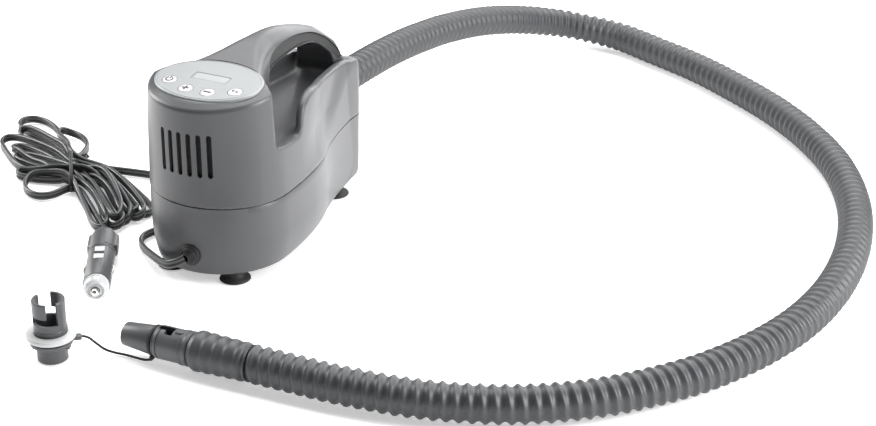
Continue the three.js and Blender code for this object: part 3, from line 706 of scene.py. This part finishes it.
def upper_shell(x, y, z):
    """The upper housing, hollow in the tower and below the scoop, and open at the seam."""
    body = body_solid(x, y, z)
    room = np.maximum(body + WALL, np.minimum(y - TOWER_REAR_Y, z - ROOM_TOP_Z))
    shell = np.maximum(body, -room)
    return np.maximum(shell, (SEAM_Z + 0.35) - z)


body_upper = new_object("body_upper", *surface_net(upper_shell, *UPPER_BOX, CELL))


def vent_tools():
    """Six upright slots with round ends, fanned about the lobe's axis."""
    ends = np.radians(np.linspace(0, 180, 9))
    half, low, high = 2.1, 92.2, 128.2
    slot = [(half * math.cos(a), high - half + half * math.sin(a)) for a in ends]
    slot += [(-half * math.cos(a), low + half - half * math.sin(a)) for a in ends]
    spacing, middle = 8.8, -89.3
    for i in range(6):
        at = shift(0, LOBE_Y) @ spin((i - 2.5) * spacing + middle)
        yield prism("slot", slot, LOBE_R - 7, LOBE_R + 5, "YZ", at)


PANEL_PLACE = shift(0, PANEL_Y, PANEL_Z) @ Matrix.Rotation(PANEL_TILT, 4, "X")


def oval(a, b, count=96):
    turn = np.linspace(0, 2 * math.pi, count, endpoint=False)
    return [(a * math.cos(t), b * math.sin(t)) for t in turn]


def band_patch(name, inner, outer, grow=0.0, rows=9, columns=64):
    """A block along the grip band: its inner and outer faces follow the handle's side at given depths."""
    low, high = [spread(smooth_path(edge, 0.5), columns) for edge in (GRIP_LOW, GRIP_HIGH)]
    mix = np.linspace(-grow, 1 + grow, rows)[None, :, None]
    grid = low[:, None] * (1 - mix) + high[:, None] * mix
    y, z = grid[..., 0].ravel(), grid[..., 1].ravel()
    nearest, furthest, halvings = 4.0, 34.0, 26
    lo, hi = np.full(len(y), nearest), np.full(len(y), furthest)
    for _ in range(halvings):
        mid = 0.5 * (lo + hi)
        inside = round_both(strap_field(mid, y), crown_field(y, z), np.interp(y, round_y, round_r)) < 0
        lo, hi = np.where(inside, mid, lo), np.where(inside, hi, mid)
    skins = [np.stack([lo - inner, y, z], 1), np.stack([lo - outer, y, z], 1)]
    size = rows * columns
    faces = []
    for i in range(columns - 1):
        for j in range(rows - 1):
            a, b, c, d = i * rows + j, i * rows + j + 1, (i + 1) * rows + j + 1, (i + 1) * rows + j
            faces += [[a, b, c, d], [size + d, size + c, size + b, size + a]]
    edge = ([i * rows for i in range(columns)] + [(columns - 1) * rows + j for j in range(1, rows)]
            + [i * rows + rows - 1 for i in range(columns - 2, -1, -1)] + list(range(rows - 2, 0, -1)))
    faces += [[a, size + a, size + b, b] for a, b in zip(edge, edge[1:] + edge[:1])]
    right = np.vstack(skins)
    left = right * (-1, 1, 1)
    both = [list(f) for f in faces] + [[2 * size + k for k in reversed(f)] for f in faces]
    return outward(new_object(name, np.vstack([right, left]), both))


# The well overlaps the panel's seat, so it is cut in a pass of its own.
body_cuts = list(vent_tools())
body_cuts.append(prism("seat", oval(PANEL_A + 0.45, PANEL_B + 0.45), -1.6, 30, "XY", PANEL_PLACE))
panel_well = prism("well", oval(PANEL_A - 4, PANEL_B - 4), -14, -1, "XY", PANEL_PLACE)
body_cuts.append(lathe("outlet", [(14.9, 98), (14.9, 130)], 48, "Y", False, shift(0, 0, OUTLET_Z)))
body_cuts.append(band_patch("groove", 2.2, -9, 0.05))
carve(body_upper, body_cuts)
carve(body_upper, [panel_well])
soften(body_upper, 42)
grip_insert = soften(band_patch("grip_insert", 4.2, 1.25, -0.03), 60)


CORNERS = ["front_right", "front_left", "rear_right", "rear_left"]
FEET = [(29, -95.5), (-29, -95.5), (21.5, 80), (-21.5, 80)]


def inset(points, by):
    """Points moved in from a counterclockwise outline."""
    p = np.asarray(points, float)
    t = np.roll(p, -1, axis=0) - np.roll(p, 1, axis=0)
    t /= np.linalg.norm(t, axis=1)[:, None]
    return p - by * np.stack([t[:, 1], -t[:, 0]], 1)


def make_lower():
    """The lower housing: the plan, swollen at each height, with a rounded foot and a hollow inside."""
    rings = [(BASE_Z, 1.3), (BASE_Z + 0.25, 0.55), (BASE_Z + 0.9, 0.1), (BASE_Z + 2, 0)]
    rings += [(z, 0) for z in (12, 14, 17, 20, 23, 26, 30, 36, 44, 52, 60, SEAM_Z - 0.5)]
    rings += [(SEAM_Z - 0.15, 0.25), (SEAM_Z - 0.05, WALL), (BASE_Z + WALL, WALL)]
    outline = smooth_path(OUTLINE, 2.2, closed=True)
    n = len(outline)
    verts = np.vstack([np.hstack([inset(outline, by - swell(*outline.T, z)[:, None]), np.full((n, 1), z)])
                       for z, by in rings])
    faces = [list(range(n))[::-1], [(len(rings) - 1) * n + k for k in range(n)]]
    for a in range(0, (len(rings) - 1) * n, n):
        faces += [[a + k, a + (k + 1) % n, a + n + (k + 1) % n, a + n + k] for k in range(n)]
    lower = outward(new_object("body_lower", verts, faces))
    x, z = LEAD_HOLE
    tools = [lathe("lead_hole", [(7.3, FRONT_Y - 4), (7.3, FRONT_Y + 8)], 40, "Y", False, shift(x, 0, z))]
    for at in FEET:
        tools.append(lathe("foot_hole", [(3.7, BASE_Z - 2), (3.7, BASE_Z + 6)], 24, "Z", False, shift(*at)))
    return soften(carve(lower, tools), 35)


body_lower = make_lower()


def make_foot(name, x, y):
    profile = [(0, 0.2), (9.2, 0), (12.2, 0), (12.7, 0.5), (12.4, 1.3), (10.6, 2.3), (8.6, 3.6), (7.4, 5),
               (7, 6.4), (7, 8.2), (0, 8.2)]
    return soften(lathe(name, profile, 56, "Z", False, shift(x, y)), 50)


feet = [make_foot("rubber_" + corner, *at) for corner, at in zip(CORNERS, FEET)]


# ------------------------------------------------------------------ materials

def material(name, color, rough, metal=0.0, bump=0.0, grain=900.0, vary=0.06, coat=0.0, painted_edge_highlight=0.0,
             transmission=0.0):
    """Moulded or machined finish: fine grain, faint mottling and roughness that varies with it, and where
    asked a painted highlight that lightens convex edges.
    """
    mat = bpy.data.materials.new(name)
    mat.use_nodes = True
    nodes, links = mat.node_tree.nodes, mat.node_tree.links
    shader = nodes["Principled BSDF"]
    shader.inputs["Metallic"].default_value = metal
    shader.inputs["Coat Weight"].default_value = coat
    shader.inputs["Transmission Weight"].default_value = transmission

    def add(kind, **values):
        node = nodes.new("ShaderNode" + kind)
        for socket, value in values.items():
            node.inputs[socket.replace("_", " ")].default_value = value
        return node

    where = add("TexCoord")
    cloud = add("TexNoise", Scale=22, Detail=6)
    links.new(where.outputs["Object"], cloud.inputs["Vector"])
    ramp = add("ValToRGB")
    for stop, position, factor in zip(ramp.color_ramp.elements, (0.3, 0.7), (1 - vary, 1 + vary)):
        stop.position = position
        stop.color = (*[min(1, c * factor) for c in color], 1)
    links.new(cloud.outputs["Fac"], ramp.inputs["Fac"])
    tone = ramp.outputs["Color"]
    # Painted highlight: convex edges, found by pointiness, are mixed towards a paler tone as if catching
    # light.
    if painted_edge_highlight:
        shape = add("NewGeometry")
        edge = add("MapRange", From_Min=0.52, From_Max=0.62)
        links.new(shape.outputs["Pointiness"], edge.inputs["Value"])
        edge_highlight_share = add("Math")
        edge_highlight_share.operation = "MULTIPLY"
        edge_highlight_share.inputs[1].default_value = painted_edge_highlight
        links.new(edge.outputs["Result"], edge_highlight_share.inputs[0])
        mix = add("Mix")
        mix.data_type = "RGBA"
        links.new(edge_highlight_share.outputs[0], mix.inputs["Factor"])
        links.new(tone, mix.inputs["A"])
        mix.inputs["B"].default_value = (*[min(1, c * 1.6 + 0.02) for c in color], 1)
        tone = mix.outputs["Result"]
    links.new(tone, shader.inputs["Base Color"])
    gloss = add("MapRange", To_Min=max(0.02, rough - 0.05), To_Max=min(1, rough + 0.05))
    links.new(cloud.outputs["Fac"], gloss.inputs["Value"])
    links.new(gloss.outputs["Result"], shader.inputs["Roughness"])
    if bump:
        fine = add("TexNoise", Scale=grain, Detail=3)
        links.new(where.outputs["Object"], fine.inputs["Vector"])
        lift = add("Bump", Strength=bump, Distance=0.0002)
        links.new(fine.outputs["Fac"], lift.inputs["Height"])
        links.new(lift.outputs["Normal"], shader.inputs["Normal"])
    return mat


# The shell's convex edges carry a painted highlight.
SHELL = material("shell_grey_plastic", (0.066, 0.0675, 0.071), 0.36, bump=0.35, grain=1400, vary=0.03,
                 painted_edge_highlight=0.25)
GRIP = material("grip_rubber", (0.016, 0.016, 0.017), 0.6, bump=0.5, grain=1500, vary=0.1)
PANEL = material("panel_silver_paint", (0.27, 0.28, 0.285), 0.38, metal=0.2, bump=0.08, grain=2600,
                 vary=0.02)
WINDOW = material("display_pane", (0.275, 0.285, 0.29), 0.12, coat=0.4, vary=0.02)
LCD = material("display_module_glass", (0.32, 0.335, 0.335), 0.25, vary=0.04)
KEY = material("button_white_plastic", (0.66, 0.66, 0.67), 0.3, bump=0.05, vary=0.01)
ICON = material("icon_ink", (0.05, 0.05, 0.055), 0.5, vary=0.05)
BOARD = material("board_green_mask", (0.02, 0.11, 0.04), 0.4, bump=0.3, grain=500, vary=0.2)
BLOWER = material("blower_black_plastic", (0.02, 0.02, 0.022), 0.5, bump=0.3, vary=0.1)
IMPELLER = material("impeller_white_plastic", (0.7, 0.7, 0.68), 0.4, bump=0.1, vary=0.03)
FOAM = material("filter_foam", (0.012, 0.012, 0.012), 0.95, bump=1.0, grain=700, vary=0.3)
STEEL = material("motor_steel", (0.55, 0.56, 0.57), 0.28, metal=1.0, bump=0.1, grain=1800, vary=0.05)
HOSE = material("hose_grey_vinyl", (0.043, 0.0445, 0.048), 0.45, bump=0.25, grain=1100, vary=0.1)
# The fittings' convex edges carry a painted highlight.
FITTING = material("fitting_grey_plastic", (0.062, 0.064, 0.068), 0.4, bump=0.3, grain=1500, vary=0.06,
                   painted_edge_highlight=0.3)
RUBBER = material("soft_rubber", (0.01, 0.01, 0.011), 0.66, bump=0.4, grain=1200, vary=0.15)
GASKET = material("gasket_white_rubber", (0.52, 0.53, 0.53), 0.5, bump=0.15, vary=0.02)
CORD = material("cord_grey_vinyl", (0.034, 0.035, 0.037), 0.34, bump=0.2, grain=1500, vary=0.12)
TIE = material("tie_black_plastic", (0.005, 0.005, 0.006), 0.6, bump=0.1, vary=0.1)
CAP = material("cap_frosted_plastic", (0.62, 0.635, 0.64), 0.28, bump=0.1, vary=0.02, transmission=0.2)
FUSE = material("fuse_glass", (0.8, 0.83, 0.84), 0.08, vary=0.03, transmission=0.6)
CONTACT = material("contact_nickel", (0.62, 0.6, 0.56), 0.22, metal=1.0, bump=0.1, grain=2000, vary=0.06)


def dress(obj, mat):
    obj.data.materials.clear()
    obj.data.materials.append(mat)
    return obj


BY_SLOT = {"shell_grey": SHELL, "grip_dark": GRIP, "panel_silver": PANEL, "display_clear": WINDOW,
           "lcd": LCD, "button_white": KEY, "board_green": BOARD, "blower_black": BLOWER,
           "impeller_white": IMPELLER, "filter_foam": FOAM, "motor_steel": STEEL, "hose_grey": HOSE,
           "fitting_grey": FITTING, "soft_rubber": RUBBER, "gasket_white": GASKET, "cord_grey": CORD,
           "tie_black": TIE, "cap_clear": CAP, "fuse_glass": FUSE, "contact_metal": CONTACT}


# ------------------------------------------------------------------ control panel

BUTTONS = {"power": (-30, -10), "plus": (-10, -18.2), "minus": (10, -18.2), "mode": (30, -10)}


def make_panel():
    """An oval plate with a bead inside its rim, and holes for the keys and the display."""
    steps = [(0, 1.0), (0.84, 1.0), (0.935, 0.98), (0.94, 0.72), (0.955, 0.72), (0.96, 0.98), (0.985, 0.9),
             (0.997, 0.55), (1, 0.1), (1, -1.3), (0, -1.3)]
    plate = lathe("panel_plate", [(r * 100, z) for r, z in steps], 128)
    plate.data.transform(Matrix.Diagonal((PANEL_A / 100, PANEL_B / 100, 1, 1)))
    tools = [lathe("hole", [(6.0, -5), (6.0, 5)], 40, "Z", False, shift(*at)) for at in BUTTONS.values()]
    tools.append(prism("glass", rounded(0, 3.5, 16.3, 5.3, 1.2), -5, 5))
    carve(plate, tools)
    plate.data.transform(PANEL_PLACE)
    return soften(plate, 30)


def rounded(cx, cy, half_x, half_y, r, count=6):
    """A rectangle with round corners."""
    points = []
    for k, (sx, sy) in enumerate([(1, 1), (-1, 1), (-1, -1), (1, -1)]):
        x, y = cx + sx * (half_x - r), cy + sy * (half_y - r)
        for a in np.linspace(0, math.pi / 2, count):
            turn = a + k * math.pi / 2
            points.append((x + r * math.cos(turn), y + r * math.sin(turn)))
    return points


def arc_band(radius, width, start, end, count=20):
    turn = np.radians(np.linspace(start, end, count))
    outer, inner = [[(r * math.cos(a), r * math.sin(a)) for a in turn]
                    for r in (radius + width / 2, radius - width / 2)]
    return outer + inner[::-1]


ICONS = {
    "power": [arc_band(2.8, 1.15, 125, 415), rounded(0, 2.5, 0.6, 1.5, 0.3)],
    "plus": [rounded(0, 0, 3.1, 0.8, 0.2)] + [rounded(0, y, 0.75, 1.14, 0.2) for y in (1.95, -1.95)],
    "minus": [rounded(0, 0, 3.3, 0.85, 0.2)],
    "mode": [[(-3.3, 1.2), (-0.3, 1.2), (-1.8, -1.5)], [(0.3, -1.4), (3.3, -1.4), (1.8, 1.3)]],
}


def make_key(name, x, y):
    profile = [(0, 1.55), (3.6, 1.5), (4.9, 1.35), (5.45, 1.0), (5.6, 0.5), (5.6, -1.6), (6.5, -1.9),
               (6.5, -3), (2, -3), (2, -4), (0, -4)]
    cap = dress(lathe("cap", profile, 48), KEY)
    marks = [dress(prism("mark", outline, 1.2, 1.8), ICON) for outline in ICONS[name]]
    key = merged("key_" + name, [cap] + marks)
    key.data.transform(PANEL_PLACE @ shift(x, y))
    return soften(key, 32)


def make_display():
    pane = dress(prism("pane", rounded(0, 3.5, 16, 5, 1.0), -0.2, 0.85), WINDOW)
    glass = dress(prism("segment", rounded(0, 3.5, 14.6, 3.9, 0.6), 0.75, 0.9), LCD)
    display = merged("display_pane", [pane, glass])
    display.data.transform(PANEL_PLACE)
    return soften(display, 32)


# ------------------------------------------------------------------ lead fittings

def make_grommet():
    """Ring in the wall and a ribbed boot that tapers down onto the lead."""
    profile = [(3.1, 6), (6.9, 6), (6.9, 0.4), (8.7, 0.3), (9.0, -0.6), (8.7, -1.7), (7.4, -2.6),
               (6.6, -2.9)]
    for k in range(3):
        r, t = 6.3 - 0.75 * k, -3.3 - 1.7 * k
        profile += [(r, t), (r, t - 0.8), (r - 0.75, t - 0.95), (r - 0.75, t - 1.6)]
    profile += [(3.5, -8.9), (3.1, -8.8)]
    boot = lathe("lead_grommet", [(r, -t) for r, t in profile], 48, "Z", True)
    x, z = LEAD_HOLE
    boot.data.transform(shift(x, FRONT_Y, z) @ spin(90, "X"))
    return soften(boot, 40)


def make_tie():
    """A thin sheathed wire round the pinched middle, its ends twisted together."""
    across = np.array([-math.sin(TIE_TURN), math.cos(TIE_TURN), 0])
    ahead = np.array([math.cos(TIE_TURN), math.sin(TIE_TURN), 0])
    loop = [(30, 12, 1), (31, 6.4, 0.5), (29.5, 2, 0), (15, 1.8, 0), (-15, 1.8, 0), (-27, 2, 0),
            (-29.5, 5.4, 0), (-27, 12, 0.5), (-18, 18, 1), (-5, 20.6, 1), (8, 20.6, 1), (20, 18, 1),
            (27.5, 14.5, 0.2), (30.5, 12.5, -1)]
    centre = np.array([TIE_AT[0], TIE_AT[1], 0])
    ring = [centre + w * across + d * ahead + np.array([0, 0, z]) for w, z, d in loop]
    strap = tube("wire", smooth_path(ring, 1.5), even_radius(1.7), 12)
    parts = [strap]
    for side in (0, math.pi):
        twist = []
        for k in range(25):
            t = k / 24
            turn = side + 4 * math.pi * t
            apart = 1.1 + 1.6 * max(0, t - 0.75)
            base = centre + (30.5 + 5 * t) * across + (16 * t) * ahead + np.array([0, 0, 12 - 6 * t])
            twist.append(base + apart * (math.cos(turn) * across + math.sin(turn) * np.array([0, 0, 1])))
        parts.append(tube("end", smooth_path(twist, 0.8), even_radius(0.95), 10))
    return soften(merged("hank_tie", parts), 60)


# ------------------------------------------------------------------ vehicle plug, along its own +X

PLUG_PLACE = shift(-99.2, -88.9, 11.6) @ spin(-59.3)


def box_field(x, y, z, centre, half):
    q = [np.abs(c - m) - h for c, m, h in zip((x, y, z), centre, half)]
    outside = np.sqrt(sum(np.maximum(d, 0) ** 2 for d in q))
    return outside + np.minimum(np.maximum(np.maximum(q[0], q[1]), q[2]), 0)


def plug_grip_field(x, y, z):
    along, radius = zip((0, 3.2), (2.5, 3.8), (5, 5.2), (8, 7.2), (12, 9.3), (16, 10.6), (20, 11.2),
                        (32, 11.3), (43, 10.7))
    dome = np.hypot(y, z) - np.interp(x, along, radius)
    dome = round_both(dome * 0.93, np.maximum(0.4 - x, x - 43), 0.7)
    wing = box_field(x, np.abs(y), z, (28, 9.6, 0), (9.5, 1.4, 3.4)) - 1.1
    return fillet(dome, wing, 2.2)


def in_plug(obj):
    obj.data.transform(PLUG_PLACE)
    return obj


def make_plug_grip():
    verts, faces = surface_net(plug_grip_field, (-1.5, -15, -14), (45.5, 15, 14), 0.8)
    return in_plug(soften(new_object("plug_handle", verts, faces), 50))


def make_plug_barrel():
    outside = [(0, 43.25), (10.2, 43.25), (10.75, 43.7), (10.75, 46.4), (10.35, 46.7), (10.35, 47.6),
               (10.75, 47.9), (10.75, 96.2), (10.4, 96.9), (7.4, 96.9), (7.4, 50), (0, 50)]
    barrel = lathe("plug_tube", outside, 56, "X")
    tools = [prism("window", [(50.8, -4.2), (71.2, -4.2), (71.2, 4.2), (50.8, 4.2)], 9.3, 14)]
    for y in (10.5, -10.5):
        tools.append(prism("slot", rounded(0, 0, 9.6, 2.6, 2.4), -6, 6, "XY", shift(74, y) @ spin(90, "X")))
    return in_plug(soften(carve(barrel, tools), 30))


def make_plug_window():
    pane = dress(prism("pane", rounded(61, 0, 10, 3.9, 0.5), 9.6, 10.75), KEY)
    band = dress(prism("band", rounded(61.5, 0, 2.2, 3.9, 0.3), 10.6, 10.95), CORD)
    return in_plug(soften(merged("plug_label_window", [pane, band]), 32))


def make_plug_cap():
    outside = [(3.6, 97.2), (9.6, 97.2), (10.15, 97.7), (10.15, 99.4), (9.7, 99.8), (9.6, 102),
               (9.0, 104.4), (7.7, 106.6), (7.0, 107.2), (6.3, 107.2), (6.1, 106.4), (4.6, 106.4),
               (4.4, 107.2), (3.6, 107.2)]
    return in_plug(soften(lathe("plug_nose", outside, 56, "X", True), 35))


def make_plug_pin():
    outside = [(0, 93.6), (5.6, 93.6), (5.6, 96.2), (3.05, 96.3), (3.05, 110.4), (2.7, 111.6), (1.9, 112.5),
               (0.9, 112.95), (0, 113)]
    return in_plug(soften(lathe("plug_tip_pin", outside, 36, "X"), 35))


def make_contact(name, side):
    """A sprung side contact: a bowed strip."""
    steps = np.linspace(0, 1, 17)
    outer = [(65.4 + 17.2 * t, side * (10.3 + 1.75 * math.sin(math.pi * t))) for t in steps]
    inner = [(x, side * 9.3) for x, _ in outer[::-1]]
    return in_plug(soften(bevelled(prism(name, outer + inner, -1.9, 1.9), 0.35), 35))


# ------------------------------------------------------------------ hose end, along its own +X

NOZZLE_PLACE = shift(127.2, -229.6, 15.5) @ spin(181.6)


def in_nozzle(obj):
    obj.data.transform(NOZZLE_PLACE)
    return obj


def make_cuff():
    """Vinyl cuff with moulded ribs that slope from the hose to the collar."""
    outside = [(9.2, 0.3)]
    for t in np.arange(0.3, 48.6, 0.6):
        base = np.interp(t, (0, 8, 30, 44, 47, 49), (13.9, 14.2, 14.5, 15, 14.4, 12.9))
        wave = 0.5 + 0.5 * math.cos(2 * math.pi * (t - 43) / RIB_PITCH)
        notch = 1.6 * max(0, 1 - abs(t - 3.6) / 1.2)
        height = np.interp(t, (0, 8, 34, 42, 47, 49), (0.7, 0.8, 0.9, 1.2, 0.9, 0))
        outside.append((min(base - 0.3 + height * wave ** 1.2 - notch, 15.4), t))
    outside += [(12.4, 49), (9.2, 49)]
    return in_nozzle(soften(lathe("cuff_ribbed", outside, 72, "X", True), 60))


def make_collar():
    outside = [(9.2, 49.4), (12.7, 49.4), (13.3, 49.9), (13.4, 52.5), (13.0, 53.2), (13.0, 54.4),
               (13.4, 55), (13.4, 56.6), (12.7, 57.2), (12.7, 76.8), (12.3, 77.8), (9.2, 77.8)]
    collar = lathe("collar_bayonet", outside, 72, "X", True)
    tools = [prism("slot", [(64, -2.6), (79, -2.6), (79, 2.6), (70.5, 2.6), (70.5, 6.2), (64, 6.2)], 7, 15),
             lathe("groove", [(12.1, 74.2), (16, 74.2), (16, 75.2), (12.1, 75.2)], 72, "X", True)]
    for tool in tools:
        carve(collar, [tool])
    bar = dress(prism("latch", rounded(58.8, 1.5, 3.6, 2.2, 0.7), 12, 13.7), FITTING)
    body = merged("collar_bayonet_ring", [dress(collar, FITTING), bar])
    return in_nozzle(soften(body, 32))


def make_tip():
    outside = [(5.6, 78.3), (11.4, 78.3), (11.8, 78.6), (11.8, 79.3), (10.3, 79.7), (10.3, 82.6),
               (11.1, 82.9), (11.2, 83.6), (9.1, 106.2), (8.7, 106.9), (7.4, 107), (6.7, 106.7), (6.5, 104)]
    return in_nozzle(soften(lathe("tip_cone", outside, 72, "X", True), 32))


def make_tether_band():
    band = lathe("band", [(10.5, 80.2), (11.9, 80.2), (12.1, 80.6), (12.1, 81.8), (11.9, 82.2),
                          (10.5, 82.2)], 56, "X", True)
    lug = bevelled(prism("lug", rounded(81.2, 7, 1.0, 2.4, 0.3), -12.4, -8.8), 0.3)
    return in_nozzle(soften(merged("tether_band", [band, lug]), 40))


def make_connector():
    """Plug-in hose connector: a barrel with a knurled collar, seen behind the body."""
    outside = [(9.5, 107.2), (11.9, 107.2), (12.3, 107.8), (12.3, 118), (17.0, 118), (17.6, 118.6),
               (17.9, 120), (17.9, 123.6), (17.3, 125.2), (16.3, 126.2), (15.9, 131), (15.2, 131.6),
               (15.9, 132.2), (15.9, 136), (15.2, 136.6), (15.6, 139.2), (9.5, 139.6)]
    axis = shift(0, 0, OUTLET_Z)
    collar = lathe("hose_coupler", outside, 72, "Y", True, axis)
    ribs = [dress(collar, FITTING)]
    rib_count = 24
    for k in range(rib_count):
        rib = bevelled(prism("rib", rounded(17.5, 121.6, 0.65, 2.3, 0.3), -0.7, 0.7), 0.25, 1)
        rib.data.transform(axis @ spin(360 * k / rib_count, "Y"))
        ribs.append(dress(rib, FITTING))
    return soften(merged("hose_coupler_ribbed", ribs), 32)


# ------------------------------------------------------------------ valve adapter

ADAPTER_PLACE = shift(-24, -265)


def wedge(start, end, low, high):
    """A sector about Z, from one bearing to another in degrees."""
    turn = np.radians(np.linspace(start, end, 9))
    return prism("wedge", [(0, 0)] + [(26 * math.cos(a), 26 * math.sin(a)) for a in turn], low, high)


def make_adapter():
    """A tube with a flange, two hooked slots in its top, two bayonet lugs and an eye for the tether."""
    outside = [(8.6, 0.1), (11.0, 0.1), (11.5, 0.6), (11.5, 12.6), (15.6, 13.4), (16, 13.8), (16, 15.8),
               (15.6, 16.2), (12.2, 16.6), (12.1, 24), (12.5, 24.4), (12.5, 26), (12.2, 26.4), (12.3, 48.8),
               (11.9, 49.4), (10.3, 49.4), (10, 49), (9.9, 20)]
    tube_part = lathe("tube", outside, 72, "Z", True)
    tools = []
    for start, end, under in ((-63.5, -22.5, -144), (117, 171, 37)):
        tools.append(wedge(start, end, 31.5, 60))
        tools.append(wedge(under, start + 4, 31.5, 37.6))
    for tool in tools:
        carve(tube_part, [tool])
    parts = [dress(tube_part, FITTING)]
    for bearing in (-143.5, 16.5):
        lug = bevelled(prism("bayonet", rounded(12.6, 0, 1.7, 2.6, 0.5), 9.6, 12.2), 0.4)
        lug.data.transform(spin(bearing))
        parts.append(dress(lug, FITTING))
    eye = bevelled(prism("eye", rounded(17.5, 0, 4.6, 2.9, 1.6), 14.2, 17.4), 0.5)
    eye.data.transform(spin(37))
    parts.append(dress(eye, FITTING))
    body = merged("adapter_claw", parts)
    body.data.transform(ADAPTER_PLACE)
    return soften(body, 32)


def make_gasket():
    outside = [(12.5, 18.4), (17.8, 18.4), (18.5, 19), (18.6, 20.4), (18.5, 21.8), (17.9, 22.4),
               (12.5, 22.4), (12.4, 20.4)]
    return soften(lathe("gasket_ring", outside, 72, "Z", True, ADAPTER_PLACE), 50)


# ------------------------------------------------------------------ bodies, slots and replaced nodes

SLOT_OF = {part["node"]: part["material_slot"] for part in frame["record"]["subparts"]}
for node, obj in frame["nodes"].items():
    dress(obj, BY_SLOT[SLOT_OF[node]])


def place(piece, slot, *nodes, body=ROOT):
    """Gives a piece its body, the CAD nodes it stands for, and its slot's finish unless it has its own."""
    if not any(piece.data.materials):
        dress(piece, BY_SLOT[slot])
    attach(piece, body)
    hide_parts(*nodes)


place(body_upper, "shell_grey", "upper_housing")
place(body_lower, "shell_grey", "lower_housing")
place(grip_insert, "grip_dark", "handle_grip")
for corner, foot in zip(CORNERS, feet):
    place(foot, "soft_rubber", "foot_" + corner)
place(make_panel(), "panel_silver", "control_panel")
place(make_display(), "display_clear", "display_window")
for name, at in BUTTONS.items():
    place(make_key(name, *at), "button_white", "button_" + name, body=name + "_key")
place(power_lead, "cord_grey", "power_cord", "cord_hank", "cord_tail")
place(make_grommet(), "soft_rubber", "cord_grommet")
place(make_tie(), "tie_black", "cord_tie")
place(make_plug_grip(), "fitting_grey", "plug_grip")
place(make_plug_barrel(), "fitting_grey", "plug_barrel")
place(make_plug_window(), "cap_clear", "plug_window")
place(make_plug_cap(), "cap_clear", "plug_cap")
place(make_plug_pin(), "contact_metal", "plug_pin", body="centre_contact")
for side, sign in (("left", 1), ("right", -1)):
    place(make_contact("contact_strip_" + side, sign), "contact_metal", "plug_contact_" + side,
          body=side + "_contact")
place(air_hose, "hose_grey", "hose_tube")
place(make_connector(), "fitting_grey", "hose_connector")
place(make_cuff(), "hose_grey", "hose_cuff")
place(make_collar(), "fitting_grey", "nozzle_collar")
place(make_tip(), "fitting_grey", "nozzle_tip", body="nozzle")
place(make_tether_band(), "soft_rubber", "tether_ring")
place(tether_cord, "soft_rubber", "tether")
place(make_adapter(), "fitting_grey", "adapter_body")
place(make_gasket(), "gasket_white", "adapter_gasket")


line_length(lead_line)
line_length(hose_line)
line_length(tether_line)

# ------------------------------------------------------------------ floor, lights

FLOOR_HALF, FLOOR_Z = 4000, -0.5
corners = [(x * FLOOR_HALF, y * FLOOR_HALF, FLOOR_Z) for x, y in ((-1, -1), (1, -1), (1, 1), (-1, 1))]
floor = new_object("floor", corners, [(0, 1, 2, 3)])
white = material("floor_white", (0.9, 0.9, 0.9), 0.6, vary=0.002)
glow = white.node_tree.nodes["Principled BSDF"].inputs
glow["Emission Color"].default_value = (1, 1, 1, 1)
glow["Emission Strength"].default_value = 0.45
dress(floor, white)

world = bpy.data.worlds.new("studio")
world.use_nodes = True
sky = world.node_tree.nodes["Background"].inputs
sky["Color"].default_value = (1, 1, 1, 1)
sky["Strength"].default_value = 0.2
bpy.context.scene.world = world


def softbox(name, at, target, size, watts):
    light = linked(name, bpy.data.lights.new(name, "AREA"))
    light.data.shape = "RECTANGLE"
    light.data.size, light.data.size_y = size
    light.data.energy = watts
    light.location = at
    light.rotation_euler = (Vector(target) - Vector(at)).to_track_quat("-Z", "Y").to_euler()


softbox("strip_right", (1.4, 0.1, 0.62), (0, 0, 0.1), (0.5, 1.0), 26)
softbox("strip_left", (-1.4, 0.0, 0.7), (0, -0.05, 0.08), (0.5, 1.1), 22)
softbox("top", (0.05, 0.75, 1.7), (0.08, 0.05, 0), (2.4, 1.6), 62)
softbox("rim", (0.0, 2.2, 0.9), (0, 0, 0.1), (2.4, 0.8), 30)

bpy.context.scene.view_settings.view_transform = "Standard"
